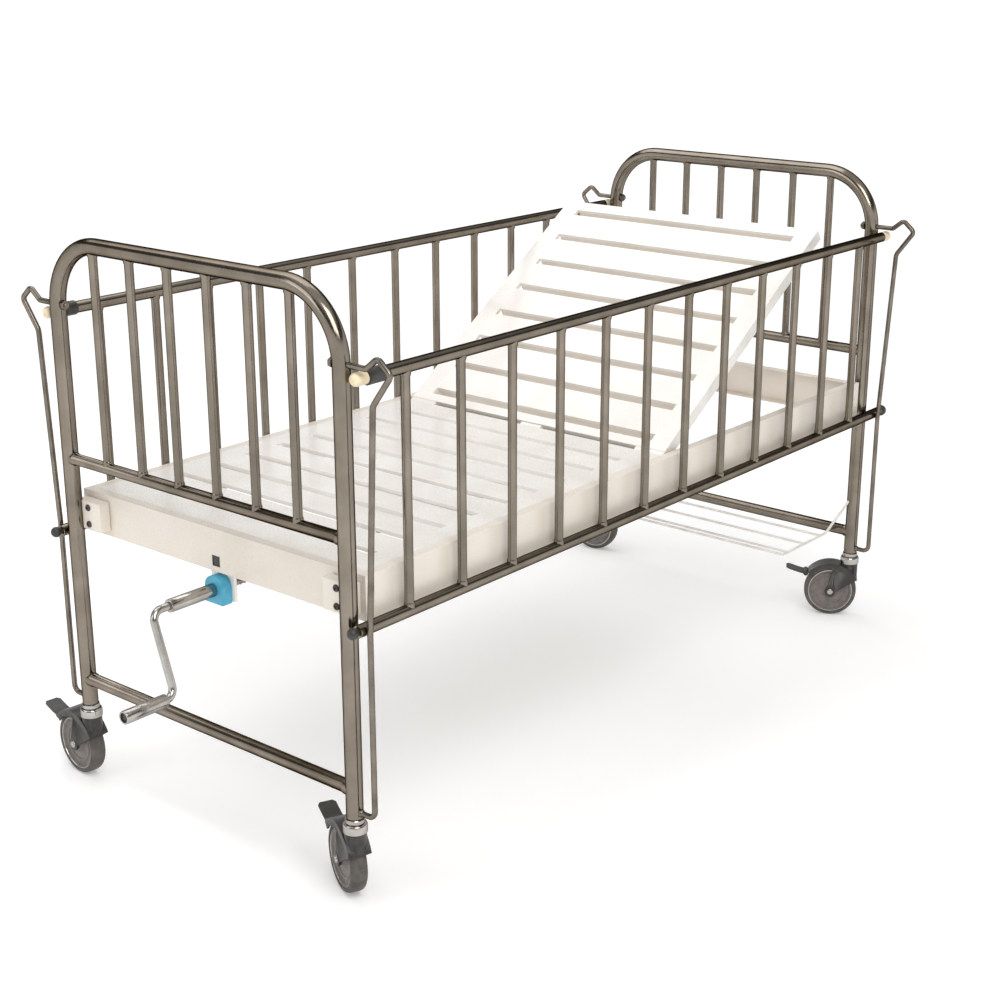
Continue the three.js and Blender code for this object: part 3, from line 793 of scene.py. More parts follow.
    @staticmethod
    def copied(piece: Piece, name: str, move: Matrix) -> Piece:
        """Copies a piece to another place, with a mesh of its own.

        Args:
            piece: The piece.
            name: The copy's name.
            move: From the piece's place to the copy's.

        Returns:
            The copy.
        """
        twin = bpy.data.objects.new(name, piece.data.copy())
        twin.data.transform(move)
        if move.determinant() < 0.0:
            twin.data.flip_normals()
        bpy.context.scene.collection.objects.link(twin)
        return twin

    def row(self, first: Piece, axis: Vector, places: Sequence[float]) -> list[Piece]:
        """Copies a piece along a straight row.

        Args:
            first: The first piece.
            axis: The row's direction.
            places: Distance of each copy from the first piece.

        Returns:
            The first piece and its copies.
        """
        row = [first]
        for index, place in enumerate(places, 1):
            move = Matrix.Translation(axis * (place * MM))
            row.append(self.copied(first, f"{first.name}_{index}", move))
        return row

    def mirrored(self, piece: Piece, name: str, x: int, y: int) -> Piece:
        """Copies a piece across the cot's middle planes.

        Args:
            piece: The piece.
            name: The copy's name.
            x: -1 to mirror end to end, else 1.
            y: -1 to mirror side to side, else 1.

        Returns:
            The copy.
        """
        flip = Matrix.Diagonal((x, y, 1.0, 1.0))
        there = Matrix.Translation(self.middle)
        return self.copied(piece, name, there @ flip @ there.inverted())

    @staticmethod
    def settle(piece: Piece, body: str, finish: Finish, *nodes: str) -> None:
        """Gives a piece its finish and its body.

        Args:
            piece: The piece.
            body: The body that it rides on.
            finish: Its finish.
            nodes: The CAD nodes that it stands for.
        """
        piece.data.materials.clear()
        piece.data.materials.append(finish.material())
        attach(piece, body)
        if nodes:
            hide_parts(*nodes)
        LOG.info("%s rides on %s", piece.name, body)


@dataclass
class Grille:
    """Sizes of the welded tubes that the ends and the drop sides share."""

    bar: float = 8.0
    rail: float = 11.0
    bead: float = 1.5
    bead_run: float = 3.5
    waist_run: float = 0.6
    waist_height: float = 0.55

    def welded(
        self, bench: Bench, name: str, low: Vector, high: Vector, radius: float, sunk: float
    ) -> Piece:
        """Makes a straight tube with a weld bead at both ends.

        Args:
            bench: The modelling steps.
            name: The piece's name.
            low: The tube's first end, inside what it is welded to.
            high: Its other end.
            radius: Its radius.
            sunk: How far each bead reaches from the tube's end.

        Returns:
            The tube.
        """
        end = [
            (0.0, radius + self.bead),
            (sunk, radius + self.bead),
            (sunk + self.bead_run * self.waist_run, radius + self.waist_height * self.bead),
            (sunk + self.bead_run, radius),
        ]
        profile = doubled(end, (high - low).length / MM)
        return bench.turned(name, low, (high - low).normalized(), profile, BAR_SIDES)

    def bars(
        self,
        bench: Bench,
        name: str,
        low: Vector,
        high: Vector,
        axis: Vector,
        places: Sequence[float],
    ) -> list[Piece]:
        """Makes a row of upright bars between two rails.

        Args:
            bench: The modelling steps.
            name: The bars' name.
            low: The first bar's lower end.
            high: Its upper end.
            axis: The row's direction.
            places: Distance of each further bar from the first one.

        Returns:
            The bars.
        """
        first = self.welded(bench, name, low, high, self.bar, self.rail)
        return bench.row(first, axis, places)


@dataclass
class EndFrame:
    """A bent tube arch on two legs, its barred panel and its crossbar."""

    bench: Bench
    grille: Grille
    end: End
    length: float = 1690.0
    width: float = 710.0
    tube: float = 15.0
    tip: float = 1.2
    bend: float = 120.0
    bend_steps: int = 16
    foot: float = 158.0
    top: float = 1053.0
    rail_height: float = 651.0
    sunk: float = 5.0
    bars: int = 6
    bar_lift: float = 1.0
    pitch: float = 98.0
    crossbar_height: float = 210.0
    crossbar: float = 12.5
    crossbar_sunk: float = 4.0
    bead_lap: float = 1.5

    def build(self) -> None:
        """Builds and dresses the end."""
        self._arch()
        self._barred_panel()
        self._crossbar()

    @property
    def x(self) -> float:
        """The end's place along the cot."""
        return self.end.value * self.length / 2

    def _arch(self) -> None:
        """Builds the bent tube and its two legs."""
        leg = self.width / 2
        path = [
            self.bench.at(self.x, -leg, self.foot),
            self.bench.at(self.x, -leg, self.top),
            self.bench.at(self.x, leg, self.top),
            self.bench.at(self.x, leg, self.foot),
        ]
        name = f"{self.end.label}_arch"
        bends = (self.bend, self.bend)
        arch = self.bench.rod(
            f"{name}_tube", path, self.tube, bends, TUBE_SIDES, self.bend_steps, self.tip
        )
        self.bench.settle(arch, "frame", STEEL_TUBE, name)

    def _between_legs(self, name: str, height: float, radius: float, sunk: float) -> Piece:
        """Builds a tube that is welded between the two legs.

        Args:
            name: The tube's name.
            height: Its height over the floor.
            radius: Its radius.
            sunk: How far its ends stay inside the middle of the legs.

        Returns:
            The tube.
        """
        reach = self.width / 2 - sunk
        return self.grille.welded(
            self.bench,
            name,
            self.bench.at(self.x, -reach, height),
            self.bench.at(self.x, reach, height),
            radius,
            self.tube - sunk + self.bead_lap,
        )

    def _barred_panel(self) -> None:
        """Builds the lower rail and the upright bars between it and the arch."""
        name = f"{self.end.label}_barred_panel"
        bench = self.bench
        rail = self._between_legs(f"{name}_rail", self.rail_height, self.grille.rail, self.sunk)
        first_y = -(self.bars - 1) / 2 * self.pitch
        bars = self.grille.bars(
            bench,
            f"{name}_bar",
            bench.at(self.x, first_y, self.rail_height + self.bar_lift),
            bench.at(self.x, first_y, self.top - self.sunk),
            Y_AXIS,
            [index * self.pitch for index in range(1, self.bars)],
        )
        panel = bench.joined(f"{name}_tubes", [rail, *bars])
        bench.settle(panel, "frame", STEEL_TUBE, name)

    def _crossbar(self) -> None:
        """Builds the low tube between the two legs."""
        name = f"{self.end.label}_crossbar"
        tube = self._between_legs(
            f"{name}_tube", self.crossbar_height, self.crossbar, self.crossbar_sunk
        )
        self.bench.settle(tube, "frame", STEEL_TUBE, name)


@dataclass
class GuideRods:
    """The four thin rods that the drop sides slide on, each with a crook at its top."""

    bench: Bench
    end_x: float = 845.0
    radius: float = 5.0
    path: tuple[tuple[float, float], ...] = (
        (366.0, 170.0),
        (402.0, 170.0),
        (402.0, 500.0),
        (420.0, 881.0),
        (460.0, 935.0),
        (433.0, 958.0),
        (408.0, 938.0),
        (328.7, 938.0),
    )
    bends: tuple[float, ...] = (14.0, 100.0, 22.0, 9.0, 9.0, 8.0)
    bend_steps: int = 10
    weld: float = 7.0
    weld_steps: Profile = ((0.0, 0.0), (5.0, 0.0), (7.0, -0.8), (8.5, -2.0))
    nut: float = 9.0
    nut_from: float = 331.7
    nut_thickness: float = 8.0
    nut_back: Profile = ((0.0, -1.4), (0.9, 0.0))
    nut_washer: Profile = ((-1.8, 0.0), (-1.0, -1.2), (-1.0, 1.2), (0.6, 1.2))

    def build(self) -> None:
        """Builds one rod with its nut and its weld, and copies it to the other legs."""
        bench = self.bench
        path = [bench.at(-self.end_x, -y, z) for y, z in self.path]
        rod = bench.rod("guide_rod", path, self.radius, self.bends, ROD_SIDES, self.bend_steps)
        weld = bench.turned(
            "guide_rod_weld",
            path[0],
            -Y_AXIS,
            shifted(self.weld_steps, 0.0, self.weld),
            PIN_SIDES,
        )
        back = shifted(self.nut_back, 0.0, self.nut)
        washer = shifted(self.nut_washer, self.nut_thickness, self.nut)
        nut = bench.turned(
            "guide_rod_nut",
            bench.at(-self.end_x, -self.nut_from, self.path[-1][1]),
            -Y_AXIS,
            back + washer,
            NUT_SIDES,
            NUT_CREASE,
        )
        whole = bench.joined("guide_rod_foot_near_bent", [rod, weld, nut])
        for corner in list(Corner)[1:]:
            end, side, _ = corner.value
            name = f"guide_rod_{corner.label}"
            twin = bench.mirrored(whole, f"{name}_bent", -end.value, -side.value)
            bench.settle(twin, "frame", ROD_STEEL, name)
        bench.settle(whole, "frame", ROD_STEEL, "guide_rod_foot_near")


@dataclass
class DropSide:
    """A barred side that slides down its guide rods, with plugs, a collar and knobs."""

    bench: Bench
    grille: Grille
    side: Side
    y: float = 386.0
    top: float = 918.0
    bottom: float = 505.0
    top_foot: float = -826.0
    top_head: float = 835.0
    bottom_foot: float = -858.0
    bottom_head: float = 877.0
    bars: int = 12
    bar_sunk: float = 1.0
    pitch: float = 133.6
    cap_length: float = 27.0
    cap_plug: Profile = ((-6.0, -2.0), (0.3, -2.0), (0.3, -0.6), (0.9, 0.0))
    cap_nose: Profile = ((-7.0, 0.0), (-3.6, -0.7), (-1.2, -2.4), (0.0, -5.0))
    collar_from: float = 1.0
    collar_length: float = 38.0
    collar_rise: float = 2.4
    collar_chamfer: float = 1.4
    knob_foot: float = 10.0
    knob_head: float = 12.6
    knob_neck: float = 4.0
    knob_plug: float = 6.0
    knob_gap: float = 0.3
    knob_start: float = 0.22
    knob_sweep: float = 0.76
    knob_steps: int = 10

    def build(self) -> None:
        """Builds and dresses the side."""
        self._tubes()
        self._caps()
        self._collar()
        self._knobs()

    @property
    def body(self) -> str:
        """The body that the side's pieces ride on."""
        return f"{self.side.label}_drop_side"

    def _at(self, x: float, z: float) -> Vector:
        """Gives a place in the side's middle plane."""
        return self.bench.at(x, self.side.value * self.y, z)

    def _tubes(self) -> None:
        """Builds the two rails and the bars between them."""
        bench, grille = self.bench, self.grille
        rails = []
        for height, foot, head in (
            (self.top, self.top_foot, self.top_head),
            (self.bottom, self.bottom_foot, self.bottom_head),
        ):
            path = [self._at(foot, height), self._at(head, height)]
            rails.append(bench.rod(f"{self.body}_rail", path, grille.rail, (), RAIL_SIDES))
        first_x = -(self.bars - 1) / 2 * self.pitch
        bars = grille.bars(
            bench,
            f"{self.body}_bar",
            self._at(first_x, self.bottom + self.bar_sunk),
            self._at(first_x, self.top - self.bar_sunk),
            X_AXIS,
            [index * self.pitch for index in range(1, self.bars)],
        )
        whole = bench.joined(f"{self.body}_tubes", [*rails, *bars])
        bench.settle(whole, self.body, STEEL_TUBE, self.body)

    def _caps(self) -> None:
        """Builds the round-nosed plugs in the top rail."""
        radius = self.grille.rail
        plug = shifted(self.cap_plug, 0.0, radius)
        nose = shifted(self.cap_nose, self.cap_length, radius)
        for end, x in ((End.FOOT, self.top_foot), (End.HEAD, self.top_head)):
            name = f"{self.side.label}_rail_cap_{end.label}"
            axis = X_AXIS * end.value
            cap = self.bench.turned(f"{name}_plug", self._at(x, self.top), axis, plug + nose)
            self.bench.settle(cap, self.body, CREAM_PLASTIC, name)

    def _collar(self) -> None:
        """Builds the dark collar behind the top rail's plug at the foot end."""
        collar = self.bench.turned(
            f"{self.side.label}_rail_collar",
            self._at(self.top_foot + self.collar_from, self.top),
            X_AXIS,
            chamfered(
                0.0, self.collar_length, self.grille.rail + self.collar_rise, self.collar_chamfer
            ),
        )
        self.bench.settle(collar, self.body, DARK_PLASTIC)

    def _knobs(self) -> None:
        """Builds the ball knobs on the ends of the bottom rail."""
        for end, x, ball in (
            (End.FOOT, self.bottom_foot, self.knob_foot),
            (End.HEAD, self.bottom_head, self.knob_head),
        ):
            neck = ball - self.knob_neck
            profile = [(-self.knob_plug, neck), (self.knob_gap, neck)]
            for step in range(self.knob_steps + 1):
                turn = math.pi * (self.knob_start + self.knob_sweep * step / self.knob_steps)
                along = self.knob_gap + ball - ball * math.cos(turn)
                profile.append((along, ball * math.sin(turn)))
            name = f"{self.side.label}_rail_knob_{end.label}"
            axis = X_AXIS * end.value
            knob = self.bench.turned(f"{name}_ball", self._at(x, self.bottom), axis, profile)
            self.bench.settle(knob, self.body, DARK_PLASTIC, name)


@dataclass
class Deck:
    """The pressed steel deck between the ends, with its slatted foot panel and its brackets."""

    bench: Bench
    edge: float = 2.0
    edge_segments: int = 3
    panel_edge: float = 1.6
    end_x: float = 815.0
    sheet: float = 2.0
    slot: float = 10.0
    slot_low: float = 513.0
    slot_high: float = 533.0
    painted_shade_margin: float = 3.0
    painted_shade_gap: float = 0.2
    painted_shade_depth: float = 6.0
    painted_shade_edge: float = 1.0
    bracket_y: float = 322.0
    bracket_z: float = 543.0
    bracket_face: float = 839.0
    bolt: float = 6.5
    bolt_spread: float = 16.0
    bolt_head: Profile = (
        (-3.0, 0.0),
        (1.2, 0.0),
        (2.6, -0.8),
        (3.4, -2.4),
        (3.4, -3.4),
        (1.6, -3.6),
    )

    def build(self) -> None:
        """Builds and dresses the deck."""
        for node in ("deck_side_near", "deck_side_far", "deck_end_foot", "deck_end_head"):
            self.bench.softened(node, self.edge, "frame", BEIGE_ENAMEL, self.edge_segments)
        for node in ("deck_cross_member_hinge", "deck_cross_member_middle"):
            self.bench.softened(node, self.edge, "frame", WHITE_ENAMEL)
        self.bench.softened("foot_slat_panel", self.panel_edge, "frame", WHITE_ENAMEL)
        self._slot_liner()
        for corner in Corner:
            self._bracket(corner)

    def _slot_liner(self) -> None:
        """Builds the dark block behind the slot in the foot end: painted shade inside the slot."""
        reach = self.slot + self.painted_shade_margin
        back = -self.end_x + self.sheet + self.painted_shade_gap
        # A dark block where the slot's hollow holds only shade: painted shade.
        painted_shade = self.bench.block(
            "foot_slot_painted_shade",
            self.bench.at(back, -reach, self.slot_low - self.painted_shade_margin),
            self.bench.at(back + self.painted_shade_depth, reach, self.slot_high + self.painted_shade_margin),
            self.painted_shade_edge,
        )
        self.bench.settle(painted_shade, "frame", DARK_PLASTIC)

    def _bracket(self, corner: Corner) -> None:
        """Builds the hook bracket at a corner and its two bolts.

        Args:
            corner: The corner.
        """
        bench = self.bench
        end, side, _ = corner.value
        node = f"deck_bracket_{corner.label}"
        bench.softened(node, self.edge, "frame", BEIGE_ENAMEL, self.edge_segments)
        x, y = end.value * self.bracket_face, side.value * self.bracket_y
        low = bench.turned(
            f"bolt_{corner.label}",
            bench.at(x, y, self.bracket_z - self.bolt_spread),
            X_AXIS * end.value,
            shifted(self.bolt_head, 0.0, self.bolt),
            PIN_SIDES,
        )
        heads = bench.row(low, Z_AXIS, [2.0 * self.bolt_spread])
        bolts = bench.joined(f"bracket_bolts_{corner.label}", heads)
        bench.settle(bolts, "frame", DARK_PLASTIC)


@dataclass
class Backrest:
    """The slatted backrest with its lever, and the hinge rod that it turns on."""

    bench: Bench
    edge: float = 1.6
    lever_edge: float = 0.9
    hinge_x: float = 70.0
    hinge_z: float = 565.0
    tilt: float = 33.3
    rod: float = 6.0
    rod_chamfer: float = 1.0
    slots: int = 8
    first_slot: float = 37.0
    slot_pitch: float = 87.0
    slot_half: float = 9.0
    slot_reach: float = 295.0
    flange_gap: float = 0.1
    flange_sheet: float = 1.6
    flange_edge: float = 0.5
    flange_top: float = 11.0
    flange_low: float = -6.0

    def build(self) -> None:
        """Builds and dresses the backrest."""
        self._slat_flanges()
        self.bench.softened("backrest_slat_panel", self.edge, "backrest", WHITE_ENAMEL)
        self.bench.softened("backrest_lever", self.lever_edge, "backrest", WHITE_ENAMEL)
        self._hinge_rod()

    def _hinge_rod(self) -> None:
        """Builds the rod that the backrest turns on, as long as its node."""
        low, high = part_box("hinge_rod")
        base = Vector(((low[0] + high[0]) / 2, low[1], (low[2] + high[2]) / 2))
        profile = chamfered(0.0, (high[1] - low[1]) / MM, self.rod, self.rod_chamfer)
        rod = self.bench.turned("hinge_rod_bar", base, Y_AXIS, profile, PIN_SIDES)
        self.bench.settle(rod, "frame", ROD_STEEL, "hinge_rod")

    def _slat_flanges(self) -> None:
        """Builds the turned-down edges of the slats, on both sides of each slot.

        The white slats' edges get the darker beige enamel: painted shade inside the slots.
        """
        bench = self.bench
        inset = self.slot_half + self.flange_gap
        near = self.first_slot + inset
        low = Vector((near, -self.slot_reach, self.flange_low)) * MM
        high = Vector((near + self.flange_sheet, self.slot_reach, self.flange_top)) * MM
        strip = bench.block("slat_flange", low, high, self.flange_edge)
        across = -2.0 * inset - self.flange_sheet
        places = [
            index * self.slot_pitch + back for index in range(self.slots) for back in (0.0, across)
        ]
        flanges = bench.joined("backrest_slat_flanges", bench.row(strip, X_AXIS, places[1:]))
        hinge = Matrix.Translation(bench.at(self.hinge_x, 0.0, self.hinge_z))
        flanges.data.transform(hinge @ Matrix.Rotation(-math.radians(self.tilt), 4, "Y"))
        # Beige enamel on the white slats' edges: painted shade in the slots.
        bench.settle(flanges, "backrest", BEIGE_ENAMEL)


@dataclass
class CrankDrive:
    """The crank, its bearing, the lead screw and the push tube that lifts the backrest."""

    bench: Bench
    z: float = 472.0
    bearing_edge: float = 2.5
    nut_edge: float = 2.0
    hanger_edge: float = 0.8
    edge_segments: int = 3
    sleeve_from: float = -924.9
    sleeve_to: float = -824.9
    sleeve: float = 12.0
    sleeve_mouth: Profile = ((0.0, -2.5), (0.0, -1.2), (0.6, -0.3), (1.6, 0.0))
    sleeve_tail: Profile = ((-1.6, 0.0), (-0.6, -0.3), (0.0, -1.2))
    rod: float = 7.0
    rod_from: float = -911.0
    rod_short: float = 6.0
    arm_x: float = -961.9
    arm: float = 150.0
    bend: float = 20.0
    bend_steps: int = 12
    turn: float = -18.7
    grip_from: float = -1072.2
    grip_length: float = 90.0
    grip: float = 12.0
    grip_wall: float = 3.2
    grip_cup: float = 8.0
    grip_lip: Profile = ((0.4, -3.2), (0.0, -2.6), (0.0, -1.0), (0.5, -0.3), (1.4, 0.0))
    grip_tail: Profile = ((-1.6, 0.0), (-0.5, -0.5), (0.0, -1.6))
    plug: Profile = ((-4.5, -3.0), (-4.0, -0.4), (0.4, -0.2))
    screw_gap: float = 0.3
    screw_to: float = -150.0
    screw: float = 7.0
    screw_tip: Profile = ((-2.0, 0.0), (0.0, -1.5))
    journal: float = 8.0
    collar_from: float = -794.7
    collar: float = 13.0
    collar_width: float = 8.0
    chamfer: float = 0.8
    thread: float = 1.8
    thread_sides: int = 4
    thread_sunk: float = 0.5
    thread_steps: int = 16
    lead: float = 10.0
    thread_from: float = -780.0
    push_from: float = -279.7
    push_to: float = 84.6
    push: float = 15.0
    push_back: Profile = ((0.0, -1.0), (1.0, 0.0))
    push_front: Profile = ((-0.8, 0.0), (0.0, -0.8))
    bore: float = 11.0
    bore_mouth: Profile = ((0.0, 0.6), (-0.6, 0.0), (-12.0, 0.0))
    pin_x: float = 64.6
    pin: float = 6.0

    def build(self) -> None:
        """Builds and dresses the drive."""
        self._bearings()
        self._crank()
        self._grip()
        self._lead_screw()
        self._push_tube()

    def _bearings(self) -> None:
        """Rounds the bearing block, the nut and the two hangers."""
        for node, body, finish, edge in (
            ("crank_bearing", "frame", BLUE_PLASTIC, self.bearing_edge),
            ("screw_nut", "push_carriage", BLUE_PLASTIC, self.nut_edge),
            ("crank_hanger", "frame", WHITE_ENAMEL, self.hanger_edge),
            ("screw_hanger", "frame", WHITE_ENAMEL, self.hanger_edge),
        ):
            self.bench.softened(node, edge, body, finish, self.edge_segments)

    def _on_axis(self, x: float) -> Vector:
        """Gives a place on the screw's axis at this distance along the cot."""
        return self.bench.at(x, 0.0, self.z)

    def _arm_end(self, x: float) -> Vector:
        """Gives a place on the grip's axis at this distance along the cot."""
        angle = math.radians(self.turn)
        return self.bench.at(x, self.arm * math.sin(angle), self.z - self.arm * math.cos(angle))

    def _crank(self) -> None:
        """Builds the sleeve and the bent bar."""
        bench = self.bench
        mouth = shifted(self.sleeve_mouth, 0.0, self.sleeve)
        tail = shifted(self.sleeve_tail, self.sleeve_to - self.sleeve_from, self.sleeve)
        sleeve = bench.turned(
            "crank_sleeve", self._on_axis(self.sleeve_from), X_AXIS, mouth + tail
        )
        path = [
            self._on_axis(self.rod_from),
            self._on_axis(self.arm_x),
            self._arm_end(self.arm_x),
            self._arm_end(self.grip_from + self.grip_cup + self.rod_short),
        ]
        bends = (self.bend, self.bend)
        bar = bench.rod("crank_bar", path, self.rod, bends, BAR_SIDES, self.bend_steps)
        crank = bench.joined("crank_bent_bar", [sleeve, bar])
        bench.settle(crank, "crank", CHROME, "crank_handle")

    def _grip(self) -> None:
        """Builds the turning tube on the crank's end, and the dark plug in its mouth."""
        bench = self.bench
        base = self._arm_end(self.grip_from)
        mouth = self.grip - self.grip_wall
        profile = [
            (self.grip_cup, mouth),
            *shifted(self.grip_lip, 0.0, self.grip),
            *shifted(self.grip_tail, self.grip_length, self.grip),
        ]
        tube = bench.turned("crank_grip_tube", base, X_AXIS, profile)
        bench.settle(tube, "crank_grip", CHROME, "crank_grip")
        filling = shifted(self.plug, self.grip_cup, mouth)
        plug = bench.turned("crank_grip_plug", base, X_AXIS, filling, BAR_SIDES)
        bench.settle(plug, "crank_grip", DARK_PLASTIC)

    def _lead_screw(self) -> None:
        """Builds the screw's core, its collar and its thread."""
        bench = self.bench
        start = self.sleeve_to + self.screw_gap
        collar = self.collar_from - start
        behind = collar + self.collar_width
        profile = [
            (0.0, self.journal),
            (collar, self.journal),
            *chamfered(collar, behind, self.collar, self.chamfer),
            (behind, self.screw),
            *shifted(self.screw_tip, self.screw_to - start, self.screw),
        ]
        core = bench.turned(
            "lead_screw_core", self._on_axis(start), X_AXIS, profile, BAR_SIDES
        )
        screw = bench.joined("lead_screw_thread", [core, self._thread()])
        bench.settle(screw, "crank", SCREW_STEEL, "lead_screw")

    def _thread(self) -> Piece:
        """Winds a square ridge round the screw.

        Returns:
            The closed thread.
        """
        bench = self.bench
        bench.clear()
        bpy.ops.mesh.primitive_circle_add(
            vertices=self.thread_sides, radius=self.thread * MM, fill_type=Start.HOOP.value
        )
        thread = bpy.context.active_object
        bench.edit_all()
        bpy.ops.transform.translate(value=(0.0, (self.screw - self.thread_sunk) * MM, 0.0))
        bpy.ops.object.mode_set(mode="OBJECT")
        wind = thread.modifiers.new("wind", "SCREW")
        wind.axis = "X"
        wind.screw_offset = self.lead * MM
        wind.iterations = int((self.screw_to - self.thread_from) / self.lead) - 1
        wind.steps = wind.render_steps = self.thread_steps
        bpy.ops.object.modifier_apply(modifier=wind.name)
        thread.location = self._on_axis(self.thread_from)
        bpy.ops.object.transform_apply(location=True, rotation=True, scale=True)
        bench.edit_all()
        bpy.ops.mesh.fill_holes(sides=0)
        return bench.closed(thread, THREAD_CREASE)

    def _push_tube(self) -> None:
        """Builds the tube that the nut pushes, with the pin across its end."""
        bench = self.bench
        length = self.push_to - self.push_from
        profile = [
            *shifted(self.push_back, 0.0, self.push),
            *shifted(self.push_front, length, self.push),
            *shifted(self.bore_mouth, length, self.bore),
        ]
        tube = bench.turned("push_tube_outer", self._on_axis(self.push_from), X_AXIS, profile)
        low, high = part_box("push_tube")
        base = Vector((self._on_axis(self.pin_x)[0], low[1], self.z * MM))
        across = chamfered(0.0, (high[1] - low[1]) / MM, self.pin, self.chamfer)
        pin = bench.turned("push_pin", base, Y_AXIS, across, PIN_SIDES)
        whole = bench.joined("push_tube_pinned", [tube, pin])
        bench.settle(whole, "push_carriage", STEEL_TUBE, "push_tube")


@dataclass
class WireRack:
    """The coated wire shelf under the head end."""

    bench: Bench
    wire: float = 3.0
    cross_wires: tuple[float, ...] = (629.7, 651.7, 726.7, 802.7)
    side: float = 297.0
    z: float = 198.0
    front: float = 626.7
    back: float = 826.7
    stay_side: float = 352.0
    stay_top: float = 290.0
    bend: float = 12.0

    def build(self) -> None:
        """Builds and dresses the rack."""
        bench = self.bench
        first_x, *others = self.cross_wires
        across = [bench.at(first_x, -self.side, self.z), bench.at(first_x, self.side, self.z)]
        first = bench.rod("rack_wire", across, self.wire, (), WIRE_SIDES)
        wires = bench.row(first, X_AXIS, [x - first_x for x in others])
        path = [
            bench.at(self.front, -self.side, self.z),
            bench.at(self.back, -self.side, self.z),
            bench.at(self.back, -self.stay_side, self.stay_top),
        ]
        stay = bench.rod("rack_stay", path, self.wire, (self.bend,), WIRE_SIDES)
        wires += [stay, bench.mirrored(stay, "rack_stay_far", 1, -1)]
        rack = bench.joined("wire_rack_wires", wires)
        bench.settle(rack, "frame", WHITE_WIRE, "wire_rack")


